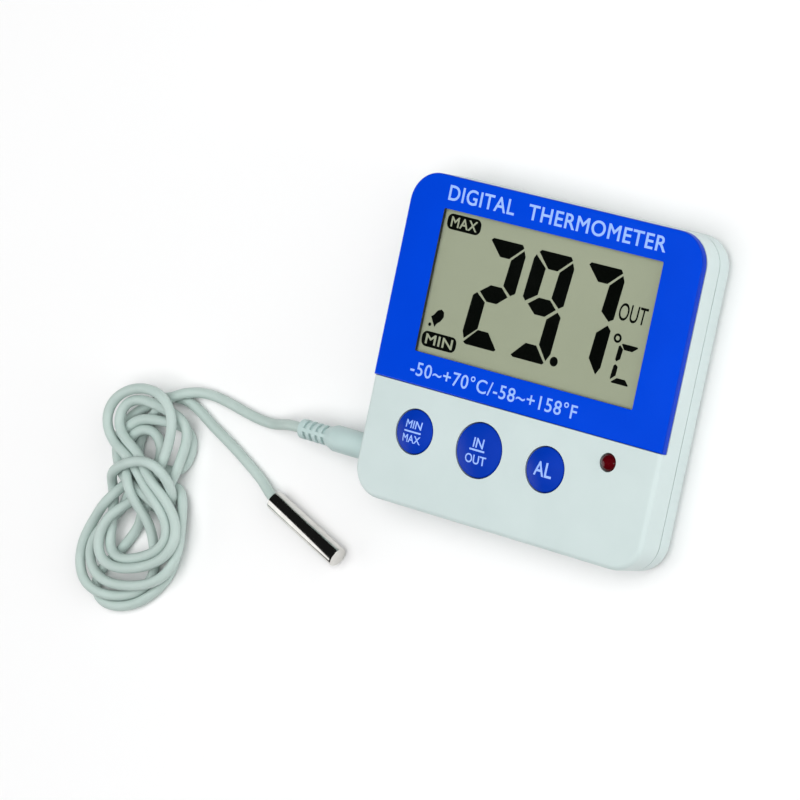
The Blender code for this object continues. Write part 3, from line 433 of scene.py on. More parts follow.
def make_finishes():
    """Return every finish of the part by name."""
    return {
        name: finish_of(name, dark, light, roughness, **settings)
        for name, (dark, light, roughness, settings) in FINISHES.items()
    }


# --- mesh helpers --------------------

WELD = 1e-7
LETTER_WELD = 1e-6
CUT_WELD = 0.002 * MM
FLAT_ANGLE = math.radians(0.5)


def mesh_from(bm, name):
    """Turn a bmesh into a mesh whose faces point outwards."""
    bmesh.ops.remove_doubles(bm, verts=bm.verts, dist=WELD)
    bmesh.ops.recalc_face_normals(bm, faces=bm.faces)
    mesh = bpy.data.meshes.new(name)
    bm.to_mesh(mesh)
    bm.free()
    return mesh


def skin(rings):
    """Close a stack of rings of equal length into one solid."""
    bm = bmesh.new()
    loops = [[bm.verts.new(point) for point in ring] for ring in rings]
    count = len(rings[0])
    for low, high in zip(loops, loops[1:]):
        for i in range(count):
            j = (i + 1) % count
            bm.faces.new((low[i], low[j], high[j], high[i]))
    bm.faces.new(list(reversed(loops[0])))
    bm.faces.new(loops[-1])
    return mesh_from(bm, "skin")


def slab(outline, low, high):
    """Extrude a flat outline between two heights."""
    return skin([[(x, y, z) for x, y in outline] for z in (low, high)])


def box(low, high):
    """Make a box between two corners."""
    (x0, y0, z0), (x1, y1, z1) = low, high
    return slab([(x0, y0), (x1, y0), (x1, y1), (x0, y1)], z0, z1)


def turned(profile, centre=(0, 0, 0), steps=48, axis="Z"):
    """Turn a profile of (radius, height) points, which starts and ends on the axis."""
    bm = bmesh.new()
    loops = []
    for radius, height in profile:
        if radius == 0:
            loops.append([bm.verts.new((0, 0, height))])
            continue
        angles = [2 * math.pi * i / steps for i in range(steps)]
        loops.append([
            bm.verts.new((radius * math.cos(a), radius * math.sin(a), height)) for a in angles
        ])
    for low, high in zip(loops, loops[1:]):
        for i in range(steps):
            j = (i + 1) % steps
            corners = (low[i % len(low)], low[j % len(low)],
                       high[j % len(high)], high[i % len(high)])
            bm.faces.new(list(dict.fromkeys(corners)))  # a point on the axis counts once
    mesh = mesh_from(bm, "turned")
    if axis == "X":
        mesh.transform(Matrix.Rotation(math.pi / 2, 4, "Y"))
    mesh.transform(Matrix.Translation(centre))
    return mesh


def rod(radius, low, high, centre=(0, 0, 0), steps=48, axis="Z"):
    """Make a cutter or a blank: a cylinder between two heights along an axis."""
    return turned([(0, low), (radius, low), (radius, high), (0, high)], centre, steps, axis)


def arc(cx, cy, radius, start, end, steps=14):
    """Return points along an arc, with angles in degrees."""
    points = []
    for i in range(steps + 1):
        angle = math.radians(start + (end - start) * i / steps)
        points.append((cx + radius * math.cos(angle), cy + radius * math.sin(angle)))
    return points


def rounded_outline(left, right, low, high, radius_low, radius_high):
    """Return a rectangle's outline with rounded lower and upper corners."""
    outline = []
    for x, inward, y, radius, start in (
        (right, -1, low, radius_low, -90), (right, -1, high, radius_high, 0),
        (left, 1, high, radius_high, 90), (left, 1, low, radius_low, 180),
    ):
        if radius == 0:
            outline.append((x, y))
            continue
        centre_y = y + radius if y == low else y - radius
        outline += arc(x + inward * radius, centre_y, radius, start, start + 90)
    return outline


def case_ring(z, inset):
    """Return the case's outline at one height, moved inwards by the inset."""
    outline = rounded_outline(
        -CASE_W / 2 + inset, CASE_W / 2 - inset, -CASE_H / 2 + inset, CASE_H / 2 - inset,
        CORNER_R - inset, CORNER_R - inset,
    )
    return [(x, y, z) for x, y in outline]


def edge_levels(z_edge, radius, direction, steps=8):
    """Return (height, inset) pairs of a rounded edge, from the side wall to the flat face."""
    levels = []
    for i in range(steps + 1):
        angle = math.pi / 2 * i / steps
        z = z_edge - direction * radius * (1 - math.sin(angle))
        levels.append((z, radius * (1 - math.cos(angle))))
    return levels


def joined(meshes):
    """Join several meshes into one."""
    bm = bmesh.new()
    for mesh in meshes:
        bm.from_mesh(mesh)
    mesh = bpy.data.meshes.new("joined")
    bm.to_mesh(mesh)
    bm.free()
    return mesh


def combine(mesh, tools, operation="DIFFERENCE"):
    """Cut tool meshes out of a mesh, or join them to it, and return the result."""
    objects = [placed("helper", data) for data in (mesh, joined(tools))]
    modifier = objects[0].modifiers.new("combine", "BOOLEAN")
    modifier.operation = operation
    modifier.solver = "EXACT"
    modifier.use_self = True
    modifier.object = objects[1]
    depsgraph = bpy.context.evaluated_depsgraph_get()
    result = bpy.data.meshes.new_from_object(objects[0].evaluated_get(depsgraph))
    for helper in objects:
        bpy.data.objects.remove(helper, do_unlink=True)
    return result


def tidied(mesh):
    """Merge stray points and melt the needless edges that a cut leaves in flat faces."""
    bm = bmesh.new()
    bm.from_mesh(mesh)
    bmesh.ops.remove_doubles(bm, verts=bm.verts, dist=CUT_WELD)
    bmesh.ops.dissolve_limit(bm, angle_limit=FLAT_ANGLE, verts=bm.verts, edges=bm.edges)
    bm.to_mesh(mesh)
    bm.free()
    return mesh


def piece(name, mesh, finish, body, stands_for=(), bevel=0.0, smooth=32):
    """Add a named piece that rides on a body, with its round faces smooth and its edges eased."""
    mesh.name = name
    obj = placed(name, mesh)
    mesh.materials.clear()
    for one in finish if isinstance(finish, (list, tuple)) else [finish]:
        mesh.materials.append(one)
    mesh.shade_smooth()
    mesh.set_sharp_from_angle(angle=math.radians(smooth))
    if bevel:
        ease = obj.modifiers.new("ease", "BEVEL")
        ease.width = bevel
        ease.segments = 2
        ease.limit_method = "ANGLE"
        ease.angle_limit = math.radians(smooth)
        ease.use_clamp_overlap = True
        ease.harden_normals = True
    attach(obj, body)
    if stands_for:
        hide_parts(*stands_for)
    return obj


# --- case --------------------

def jack_bore():
    """Return the round hole that both shells share around the socket's collar."""
    radius, depth = 3.3 * MM, 2.2 * WALL
    return rod(radius, -CASE_W / 2 - WALL, -CASE_W / 2 + depth, (0, JACK_Y, JACK_Z), axis="X")


def make_front_shell(finishes):
    """Front shell: a raised key deck below and a stepped seat for the lens above."""
    base = PART_LINE + GAP
    seat = CASE_D - LENS_T - GAP
    roof = seat - LENS_LEDGE_T
    far = CASE_W
    deck_half_w, deck_low, deck_high = 38.8 * MM, -CASE_H / 2 + 2 * MM, -14.4 * MM
    lamp_gap = 0.25 * MM
    post_r, post_rise, pilot_stop = 3.0 * MM, 0.5 * MM, 0.4 * MM
    levels = [(base, 0)] + edge_levels(CASE_D, FRONT_EDGE_R, 1)
    shell = skin([case_ring(z, inset) for z, inset in levels])
    shell = combine(shell, [skin([case_ring(z, WALL) for z in (base - WALL, roof)])])
    shell = combine(shell, [
        box((-far, LENS_BOTTOM - GAP, seat), (far, far, CASE_D + WALL)),
        box((-deck_half_w, deck_low, base), (deck_half_w, deck_high, CASE_D - WALL)),
        box((-FRAME_HALF_W - GAP, FRAME_LOW - GAP, roof - WALL),
            (FRAME_HALF_W + GAP, FRAME_HIGH + GAP, CASE_D)),
        rod(LED_R + lamp_gap, base, CASE_D + WALL, (LED_X, LED_Y, 0), 40),
        jack_bore(),
    ] + [
        rod(radius, CASE_D - 2 * WALL, CASE_D + WALL, (x, KEY_ROW_Y, 0), 72)
        for _, _, x, radius in KEYS
    ])
    shell = combine(shell, [rod(post_r, base, roof + post_rise, (x, y, 0), 24)
                            for x, y in SCREW_SPOTS], "UNION")
    shell = combine(shell, [rod(PILOT_R, base - WALL, roof - pilot_stop, (x, y, 0), 20)
                            for x, y in SCREW_SPOTS])
    piece("front_casing", tidied(shell), finishes["shell_white"], "case",
          ["front_shell"], bevel=0.14 * MM)


def back_blank():
    """Return the plain lower tray that the back shell and its battery door are cut from."""
    levels = list(reversed(edge_levels(0, BACK_EDGE_R, -1))) + [(PART_LINE, 0)]
    hollow = [(WALL, BACK_EDGE_R), (BACK_EDGE_R, WALL), (PART_LINE + WALL, WALL)]
    return combine(skin([case_ring(z, inset) for z, inset in levels]),
                   [skin([case_ring(z, inset) for z, inset in hollow])])


def arch(radius, x_low, x_high, foot):
    """Return a tunnel over the battery cell: an arch on straight legs, along X."""
    section = arc(CELL_Y, CELL_Z, radius, 0, 180, 24)
    section = [(CELL_Y + radius, foot)] + section + [(CELL_Y - radius, foot)]
    return skin([[(x, y, z) for y, z in section] for x in (x_low, x_high)])


def make_back_shell(finishes):
    """Back shell with battery bay, stand recess, keyhole, vents and screw bosses."""
    low_floor = WALL / 2
    bottom = -CASE_H / 2
    opening = DOOR_HALF_W + GAP
    door_edge, door_gap = 4 * MM, 0.2 * MM
    block_side, block_low, block_high, block_top = 2.6 * MM, 1.6 * MM, 4.4 * MM, 4.0 * MM
    recess_gap, barrel_gap, recess_top, pin_reach = 0.4 * MM, 0.5 * MM, 2.45 * MM, 9.9 * MM
    notch_half_w, notch_low, notch_high, notch_top = 3.5 * MM, 4.2 * MM, 1 * MM, 1.1 * MM
    switch_half_w, switch_half_h = 3.2 * MM, 1.4 * MM
    wire_r, head_r, head_depth = 0.65 * MM, 2.2 * MM, 2.6 * MM
    sound_r, sound_ring_r = 0.7 * MM, 2.6 * MM
    vents, vent_pitch, vent_half_w, vent_half_h = 4, 2.6 * MM, 4 * MM, 0.6 * MM
    shell = combine(back_blank(), [rod(BOSS_R, low_floor, PART_LINE, (x, y, 0), 28)
                                   for x, y in SCREW_SPOTS] + [
        box((-STAND_HALF_W - block_side, STAND_LOW - block_low, low_floor),
            (STAND_HALF_W + block_side, HINGE_Y + block_high, block_top)),
        arch(BAY_R + BAY_WALL, -BAY_HALF_W, BAY_HALF_W, low_floor),
    ], "UNION")
    slot_top = arc(0, KEYHOLE_SLOT_Y, KEYHOLE_SLOT_R, 0, 180, 16)
    slot = [(-KEYHOLE_SLOT_R, KEYHOLE_Y), (KEYHOLE_SLOT_R, KEYHOLE_Y)] + slot_top
    cuts = [
        arch(BAY_R, BAY_LOW_X, BAY_HIGH_X, WALL),
        box((-opening, bottom - WALL, -WALL), (opening, DOOR_TOP + GAP, WALL + GAP)),
        box((-opening, bottom - WALL, -WALL), (opening, bottom + door_edge, BACK_EDGE_R + GAP)),
        box((-opening, bottom - WALL, -WALL), (opening, bottom + WALL + door_gap, CASE_D)),
        box((-STAND_HALF_W - recess_gap, STAND_LOW - recess_gap, -WALL),
            (STAND_HALF_W + recess_gap, HINGE_Y + HINGE_R + barrel_gap, recess_top)),
        rod(PIN_HOLE_R, -pin_reach, pin_reach, (0, HINGE_Y, HINGE_Z), 20, "X"),
        box((-notch_half_w, STAND_LOW - notch_low, -WALL),
            (notch_half_w, STAND_LOW + notch_high, notch_top)),
        rod(KEYHOLE_R, -WALL, 2 * WALL, (0, KEYHOLE_Y, 0)),
        slab(slot, -WALL, 2 * WALL),
        box((SWITCH_X - switch_half_w, SWITCH_Y - switch_half_h, -WALL),
            (SWITCH_X + switch_half_w, SWITCH_Y + switch_half_h, 2 * WALL)),
        rod(wire_r, -BAY_HALF_W - WALL, BAY_LOW_X + WALL, (0, CELL_Y, CELL_Z), 16, "X"),
        rod(wire_r, BAY_HIGH_X - WALL, BAY_HALF_W + WALL, (0, CELL_Y, CELL_Z), 16, "X"),
        jack_bore(),
    ]
    for x, y in SCREW_SPOTS:
        cuts.append(rod(head_r, -WALL, head_depth, (x, y, 0), 32))
        cuts.append(rod(PILOT_R, 0, PART_LINE + WALL, (x, y, 0), 20))
    for ring_count, ring_r in ((1, 0), (6, sound_ring_r)):
        for i in range(ring_count):
            a = 2 * math.pi * i / ring_count
            centre = (BUZZER_X + ring_r * math.cos(a), BUZZER_Y + ring_r * math.sin(a), 0)
            cuts.append(rod(sound_r, -WALL, 2 * WALL, centre, 18))
    for i in range(vents):
        y = SENSOR_Y + (i - (vents - 1) / 2) * vent_pitch
        cuts.append(box((SENSOR_X - vent_half_w, y - vent_half_h, -WALL),
                        (SENSOR_X + vent_half_w, y + vent_half_h, 2 * WALL)))
    piece("back_casing", tidied(combine(shell, cuts)), finishes["shell_white"], "case",
          ["back_shell"], bevel=0.12 * MM)


def make_battery_door(finishes):
    """Battery door: the part of the tray's floor and lower edge that slides off downwards."""
    bottom = -CASE_H / 2
    keep = box((-DOOR_HALF_W, bottom - WALL, -WALL), (DOOR_HALF_W, DOOR_TOP, PART_LINE + WALL))
    door = combine(back_blank(), [keep], "INTERSECT")
    groove_low, groove_pitch, groove_half_w = 5.2 * MM, 1.6 * MM, 7 * MM
    groove_w, groove_depth = 0.7 * MM, 0.5 * MM
    grooves = []
    for i in range(4):
        y = bottom + groove_low + i * groove_pitch
        grooves.append(box((-groove_half_w, y, -WALL), (groove_half_w, y + groove_w, groove_depth)))
    piece("battery_cover", tidied(combine(door, grooves)), finishes["shell_white"], "door",
          ["battery_door"], bevel=0.12 * MM)


def make_stand(finishes):
    """Fold-out leg, lying flush in its recess."""
    low = HINGE_Z - STAND_T / 2 - 0.1 * MM
    corner_r, hole_r, hole_half_w = 2.5 * MM, 1.5 * MM, 4.6 * MM
    hole_low, hole_high = STAND_LOW + 8 * MM, HINGE_Y - 6 * MM
    reach = 2 * STAND_HALF_W
    hinge = (0, HINGE_Y, HINGE_Z)
    leg = rounded_outline(-STAND_HALF_W, STAND_HALF_W, STAND_LOW, HINGE_Y, corner_r, 0)
    barrel = rod(HINGE_R, -STAND_HALF_W, STAND_HALF_W, hinge, 28, "X")
    window = rounded_outline(-hole_half_w, hole_half_w, hole_low, hole_high, hole_r, hole_r)
    bore = rod(PIN_HOLE_R, -reach, reach, hinge, 20, "X")
    stand = combine(slab(leg, low, low + STAND_T), [barrel], "UNION")
    stand = combine(stand, [slab(window, -WALL, 2 * WALL), bore])
    piece("stand_leg", tidied(stand), finishes["shell_white"], "stand",
          ["fold_out_stand"], bevel=0.15 * MM)


# --- display --------------------

def make_lens(finishes):
    """Blue lens border, with its window wall painted near-black as shade and its edge faces a
    darker blue as painted shade, and the clear pane inside it.
    """
    chamfer, back_chamfer, corner_r = 0.35 * MM, 0.12 * MM, 0.4 * MM
    low_edge = LENS_BOTTOM - 0.2 * MM
    wall_tilt, edge_tilt, margin = 0.5, 0.93, 0.1 * MM
    trim, pane_low, pane_high = 0.06 * MM, CASE_D - 0.9 * MM, CASE_D - 0.05 * MM
    levels = [(CASE_D - LENS_T, back_chamfer), (CASE_D - LENS_T + back_chamfer, 0)]
    levels += edge_levels(CASE_D, chamfer, 1, 5)
    rings = []
    for z, inset in levels:
        outline = rounded_outline(-CASE_W / 2 + inset, CASE_W / 2 - inset, low_edge + inset,
                                  CASE_H / 2 - inset, 0, CORNER_R - inset)
        rings.append([(x, y, z) for x, y in outline])
    left, right, low, high = WINDOW
    lens = combine(skin(rings), [
        box((-FRAME_HALF_W - GAP, FRAME_LOW - GAP, CASE_D - 2 * LENS_T),
            (FRAME_HALF_W + GAP, FRAME_HIGH + GAP, CASE_D - LENS_T / 2)),
    ])
    window = rounded_outline(left, right, low, high, corner_r, corner_r)
    lens = tidied(combine(lens, [slab(window, CASE_D - 2 * LENS_T, CASE_D + LENS_T)]))
    skins = (finishes["lens_blue"], finishes["window_wall_painted_shade"], finishes["lens_edge_painted_shade"])
    border = piece("lens_border", lens, skins, "case", ["display_lens"])
    for face in border.data.polygons:
        x, y, _ = face.center
        inside = left - margin < x < right + margin and low - margin < y < high + margin
        flatness = abs(face.normal.z)
        # window walls: near-black painted shade
        if inside and flatness < wall_tilt:
            face.material_index = 1
        # outer edge faces: darker blue painted shade
        elif not inside and flatness < edge_tilt:
            face.material_index = 2
        else:
            face.material_index = 0
    pane = rounded_outline(left + trim, right - trim, low + trim, high - trim, corner_r, corner_r)
    piece("lens_pane", slab(pane, pane_low, pane_high), finishes["pane_clear"], "case")


def make_lcd(finishes):
    """Display module: lower glass, a slightly smaller upper glass, and its face."""
    low_x, low_y = -37.6 * MM, -8.0 * MM
    high_x, high_y = 37.6 * MM, 39.2 * MM
    ledge, corner_r = 2.4 * MM, 0.2 * MM
    split, foot = LCD_TOP - 1.2 * MM, LCD_TOP - 2.8 * MM
    lower = rounded_outline(low_x, high_x, low_y, high_y, corner_r, corner_r)
    upper = rounded_outline(low_x, high_x, low_y + ledge, high_y, corner_r, corner_r)
    piece("lcd_lower_glass", slab(lower, foot, split), finishes["lcd_glass"], "case",
          bevel=0.1 * MM)
    piece("lcd_upper_glass", slab(upper, split, LCD_TOP), finishes["lcd_face"], "case",
          ["lcd_panel"], bevel=0.06 * MM)


# Marks on the display, in millimetres; each digit is its offset in x and the segments it lights
DIGIT_SEGMENTS = {
    "a": ((-2.64, 30.9), (-2.0, 31.57), (7.7, 31.57), (8.4, 30.7), (4.2, 27.0), (1.2, 27.0)),
    "b": ((8.6, 30.1), (9.35, 28.6), (8.45, 18.4), (7.0, 17.5), (4.15, 19.7), (4.95, 26.8)),
    "c": ((7.0, 16.5), (8.3, 15.35), (7.55, 5.3), (6.35, 3.25), (3.3, 7.05), (3.95, 14.0)),
    "d": ((-5.0, 2.6), (-4.2, 2.1), (5.4, 2.1), (6.0, 2.6), (2.5, 6.6), (-1.0, 6.6)),
    "e": ((-3.75, 16.4), (-0.6, 14.2), (-1.15, 6.9), (-5.05, 3.5), (-5.85, 5.4), (-4.95, 15.4)),
    "f": ((-3.4, 30.1), (0.4, 27.0), (-0.4, 19.7), (-4.0, 17.4), (-5.0, 18.4), (-4.0, 29.0)),
    "g": ((-3.0, 16.85), (0.2, 19.1), (3.9, 19.1), (6.3, 17.0), (3.15, 14.5), (-0.2, 14.5)),
}
DIGITS = ((-16.05, "abged"), (0.0, "abcdfg"), (16.3, "abc"))
SMALL_C = (
    ((28.9, 12.75), (29.3, 12.95), (33.9, 12.95), (34.1, 12.6), (32.5, 11.4), (29.9, 11.4)),
    ((28.5, 12.4), (29.6, 11.45), (29.3, 8.8), (28.25, 8.0), (27.8, 8.5), (28.1, 12.1)),
    ((28.25, 7.3), (29.1, 6.7), (29.0, 4.4), (27.5, 3.1), (27.4, 3.6), (27.7, 6.8)),
    ((29.5, 3.85), (32.2, 3.85), (33.4, 2.6), (33.2, 2.35), (28.1, 2.35), (27.9, 2.6)),
)
BELL = ((-33.1, 6.95), (-32.3, 7.5), (-31.3, 8.9), (-30.1, 9.4), (-29.1, 8.8), (-28.9, 7.5),
        (-29.7, 6.2), (-30.9, 5.2), (-31.3, 4.3))
CLAPPER = (-33.0, 4.75, 0.5)
POINT = (9.04, 3.7, 1.3)
DEGREE = (27.2, 14.0, 1.25, 0.6)  # x, y, outer and inner radius
BADGE_R = 1.7
THIN_LETTERS, LENS_LETTERS, BOLD_LETTERS = 0.008, 0.014, 0.016  # weights
LCD_SHIFT = (-0.95, -0.16)
INK_T = 0.02 * MM
INK_SUNK = 0.2 * INK_T  # so that no gap shows under it


def inked(outline):
    """Return a thin printed shape on the display's face from millimetre points."""
    dx, dy = LCD_SHIFT
    points = [((x + dx) * MM, (y + dy) * MM) for x, y in outline]
    return slab(points, LCD_TOP - INK_SUNK, LCD_TOP + INK_T)


def ring_of(cx, cy, outer, inner, low, high, steps=28):
    """Return a flat ring."""
    bm = bmesh.new()
    loops = []
    for radius, z in ((outer, low), (outer, high), (inner, high), (inner, low)):
        loops.append([bm.verts.new((cx + radius * math.cos(2 * math.pi * i / steps),
                                    cy + radius * math.sin(2 * math.pi * i / steps), z))
                      for i in range(steps)])
    for first, second in zip(loops, loops[1:] + loops[:1]):
        for i in range(steps):
            j = (i + 1) % steps
            bm.faces.new((first[i], first[j], second[j], second[i]))
    return mesh_from(bm, "ring")


def lettering(text, left, right, low, high, base, thick, weight=0.0, shear=0.0, spacing=1.0):
    """Return solid letters fitted between the given sides, standing on a flat height."""
    curve = bpy.data.curves.new("letters", "FONT")
    curve.body = text
    curve.extrude = 0.01
    curve.bevel_depth = weight
    curve.bevel_resolution = 0
    curve.shear = shear
    curve.space_character = spacing
    curve.resolution_u = 5
    holder = placed("letters", curve)
    depsgraph = bpy.context.evaluated_depsgraph_get()
    mesh = bpy.data.meshes.new_from_object(holder.evaluated_get(depsgraph))
    bpy.data.objects.remove(holder, do_unlink=True)
    co = np.array([v.co for v in mesh.vertices])
    small, large = co.min(axis=0), co.max(axis=0)
    share = (co - small) / (large - small)
    co[:, 0] = left + share[:, 0] * (right - left)
    co[:, 1] = low + share[:, 1] * (high - low)
    co[:, 2] = base + share[:, 2] * thick
    mesh.vertices.foreach_set("co", co.ravel())
    bm = bmesh.new()
    bm.from_mesh(mesh)
    bmesh.ops.remove_doubles(bm, verts=bm.verts, dist=LETTER_WELD)
    bmesh.ops.recalc_face_normals(bm, faces=bm.faces)
    bm.to_mesh(mesh)
    bm.free()
    return mesh


def make_readout(finishes):
    """Dark segments, badges and unit marks on the display's face."""
    shapes = []
    for offset, lit in DIGITS:
        for letter in lit:
            shapes.append(inked([(x + offset, y) for x, y in DIGIT_SEGMENTS[letter]]))
    shapes += [inked(outline) for outline in SMALL_C + (BELL,)]
    shapes.append(inked(arc(*POINT, 0, 360, 20)[:-1]))
    shapes.append(inked(arc(*CLAPPER, 0, 360, 16)[:-1]))
    piece("lcd_segments", joined(shapes), finishes["lcd_ink"], "case")
    dx, dy = (v * MM for v in LCD_SHIFT)
    x, y, outer, inner = (v * MM for v in DEGREE)
    degree = ring_of(x + dx, y + dy, outer, inner, LCD_TOP - INK_SUNK, LCD_TOP + INK_T)
    word = lettering("OUT", 25.9 * MM + dx, 34.9 * MM + dx, 18.7 * MM + dy, 23.4 * MM + dy,
                     LCD_TOP, INK_T, weight=THIN_LETTERS, shear=0.08)
    piece("lcd_unit_marks", joined([degree, word]), finishes["lcd_ink"], "case")
    for name, text, left, right, low, high in (
        ("lcd_max_badge", "MAX", -34.3, -22.9, 31.0, 35.25),
        ("lcd_min_badge", "MIN", -34.7, -23.0, -1.3, 2.9),
    ):
        plate = rounded_outline(left, right, low, high, BADGE_R, BADGE_R)
        piece(name, inked(plate), finishes["lcd_ink"], "case")
        letters = lettering(text, (left + 1.3) * MM + dx, (right - 1.2) * MM + dx,
                            (low + 0.75) * MM + dy, (high - 0.7) * MM + dy,
                            LCD_TOP + INK_T - INK_SUNK, INK_T, weight=BOLD_LETTERS, spacing=1.05)
        piece(name + "_letters", letters, finishes["lcd_face"], "case")


def make_lens_prints(finishes):
    """Pale words and range figures printed on the lens."""
    for name, text, left, right, low, high, weight in (
        ("print_digital", "DIGITAL", -35.6, -13.4, 38.4, 42.6, LENS_LETTERS),
        ("print_thermometer", "THERMOMETER", -8.9, 35.9, 38.4, 42.6, LENS_LETTERS),
        ("print_range", "-50~+70°C/-58~+158°F", -36.25, 19.5, -9.7, -5.75, THIN_LETTERS),
    ):
        letters = lettering(text, left * MM, right * MM, low * MM, high * MM,
                            CASE_D - 0.004 * MM, 0.02 * MM, weight, spacing=1.08)
        piece(name, letters, finishes["print_pale"], "case")


# --- keys and light --------------------

CROWN_POWER = 2.4
PRINT_STEP = 0.45 * MM  # the longest edge of a print, so that it follows the crown
PRINT_SUNK = 0.03 * MM
PRINT_HIGH = 0.015 * MM


def crown(radius, outer):
    """Return a key's height at a radius."""
    flat = outer - KEY_EDGE
    return KEY_SHOULDER + KEY_CROWN * (1 - min(1.0, radius / flat) ** CROWN_POWER)


def on_crown(mesh, x, outer):
    """Bend a flat print on to a key's crown, fine enough to follow it."""
    bm = bmesh.new()
    bm.from_mesh(mesh)
    for _ in range(4):
        long_edges = [e for e in bm.edges if e.calc_length() > PRINT_STEP]
        if not long_edges:
            break
        bmesh.ops.subdivide_edges(bm, edges=long_edges, cuts=1)
        bmesh.ops.triangulate(bm, faces=bm.faces)
    for vert in bm.verts:
        radius = math.hypot(vert.co.x - x, vert.co.y - KEY_ROW_Y)
        vert.co.z += crown(radius, outer)
    bm.to_mesh(mesh)
    bm.free()
    return mesh


KEY_LABELS = {
    "key_min_max": (("MIN", -2.65, 2.65, 0.85, 3.0), ("bar", -2.8, 2.8, -0.3, 0.15),
                    ("MAX", -3.0, 3.0, -3.1, -0.95)),
    "key_in_out": (("IN", -1.6, 1.8, 0.65, 3.3), ("bar", -2.5, 2.5, -0.25, 0.25),
                   ("OUT", -3.45, 3.45, -3.75, -1.25)),
    "key_alarm": (("AL", -2.9, 2.9, -1.95, 2.0),),
}  # text, left, right, low and high side from the key's middle, in millimetres


def make_keys(finishes):
    """Three domed keys with their printed names."""
    stem_r, plunger_top = 1.6 * MM, 12.5 * MM
    edge_steps, crown_steps = 6, 12
    lip_top = CASE_D - WALL - GAP
    lip_low = lip_top - 0.4 * MM
    for name, body, x, hole_r in KEYS:
        outer = hole_r - GAP
        profile = [
            (0, plunger_top), (stem_r, plunger_top), (stem_r, lip_low),
            (outer + KEY_LIP, lip_low), (outer + KEY_LIP, lip_top), (outer, lip_top),
        ]
        for i in range(edge_steps + 1):
            a = math.pi / 2 * i / edge_steps
            profile.append((outer - KEY_EDGE * (1 - math.cos(a)),
                            KEY_SHOULDER - KEY_EDGE * (1 - math.sin(a))))
        for i in range(1, crown_steps + 1):
            radius = (outer - KEY_EDGE) * (1 - i / crown_steps)
            profile.append((radius, crown(radius, outer)))
        profile[-1] = (0, crown(0, outer))
        piece(name + "_cap", turned(profile, (x, KEY_ROW_Y, 0), 72), finishes["key_blue"], body,
              [name])
        for text, left, right, low, high in KEY_LABELS[name]:
            sides = (x + left * MM, x + right * MM, KEY_ROW_Y + low * MM, KEY_ROW_Y + high * MM)
            if text == "bar":
                bar = rounded_outline(*sides, 0.1 * MM, 0.1 * MM)
                flat = slab(bar, -PRINT_SUNK, PRINT_HIGH)
            else:
                flat = lettering(text, *sides, -PRINT_SUNK, PRINT_SUNK + PRINT_HIGH,
                                 weight=LENS_LETTERS)
            label = f"{name}_print_{text.lower()}"
            piece(label, on_crown(flat, x, outer), finishes["print_pale"], body)


def make_led(finishes):
    """Alarm light: a domed lamp that looks out of the deck."""
    foot, flange_top = 7.6 * MM, 8.6 * MM
    flange_r = LED_R + 0.2 * MM
    lamp_r = LED_R + 0.14 * MM
    dome_base = CASE_D - 1.15 * MM
    profile = [(0, foot), (flange_r, foot), (flange_r, flange_top), (lamp_r, flange_top),
               (lamp_r, dome_base)]
    dome_steps = 14
    for i in range(1, dome_steps + 1):
        a = math.pi / 2 * i / dome_steps
        profile.append((lamp_r * math.cos(a), dome_base + LED_R * math.sin(a)))
    profile[-1] = (0, dome_base + LED_R)
    piece("alarm_lamp", turned(profile, (LED_X, LED_Y, 0), 40), finishes["led_red"], "case",
          ["alarm_led"])


# --- plug and probe --------------------

def make_plug(finishes):
    """Plug grip with a shoulder and a segmented strain relief."""
    face = PLUG_FACE_X
    grip_end = face - 13.2 * MM
    taper_end = face - 15.4 * MM
    grip_r, relief_r = 3.7 * MM, 2.8 * MM
    ribs, pitch, rib_gap, rib_depth, ease = 4, 2.2 * MM, 1.0 * MM, 0.8 * MM, 0.12 * MM
    end_ease = 0.3 * MM
    spine_half_w, spine_inset = 0.5 * MM, 0.06 * MM
    outline = [(0, face), (grip_r - 0.5 * MM, face), (grip_r - 0.15 * MM, face - 0.15 * MM),
               (grip_r, face - 0.5 * MM), (grip_r, grip_end),
               (grip_r - 0.1 * MM, grip_end - 0.4 * MM), (grip_r - 0.35 * MM, grip_end - 1.0 * MM),
               (relief_r + 0.1 * MM, taper_end)]
    for i in range(ribs):
        x = taper_end - 0.6 * MM - i * pitch
        outline += [(relief_r, x + ease), (relief_r - ease, x), (relief_r - rib_depth, x),
                    (relief_r - rib_depth, x - rib_gap), (relief_r - ease, x - rib_gap),
                    (relief_r, x - rib_gap - ease)]
    outline += [(relief_r, PLUG_END_X + end_ease), (relief_r - end_ease, PLUG_END_X),
                (0, PLUG_END_X)]
    blank = turned(list(reversed(outline)), (0, JACK_Y, JACK_Z), 56, "X")
    spine_r = relief_r - spine_inset
    spine = box((PLUG_END_X + 0.5 * MM, JACK_Y - spine_half_w, JACK_Z - spine_r),
                (taper_end + 0.3 * MM, JACK_Y + spine_half_w, JACK_Z + spine_r))
    return piece("plug_body", tidied(combine(blank, [spine], "UNION")), finishes["plug_grey"],
                 "probe_lead", ["plug_moulding"], smooth=40)


def make_probe(finishes):
    """Steel probe sleeve with eased ends."""
    along = PROBE_TIP - PROBE_END
    length = along.length
    chamfer, bore_r, bore_depth = 0.45 * MM, 2.2 * MM, 3.0 * MM
    profile = [(0, bore_depth), (bore_r, bore_depth), (bore_r, 0.1 * MM), (bore_r + 0.1 * MM, 0),
               (PROBE_R - 0.25 * MM, 0), (PROBE_R - 0.07 * MM, 0.08 * MM), (PROBE_R, 0.3 * MM)]
    for i in range(6):
        a = math.pi / 2 * i / 5
        profile.append((PROBE_R - chamfer * (1 - math.cos(a)),
                        length - chamfer * (1 - math.sin(a))))
    profile.append((0, length))
    turn = Vector((0, 0, 1)).rotation_difference(along).to_matrix().to_4x4()
    sleeve = turned(profile, steps=56)
    sleeve.transform(Matrix.Translation(PROBE_END) @ turn)
    return piece("probe_tube", sleeve, finishes["probe_steel"], "probe_lead",
                 ["probe_sleeve"])


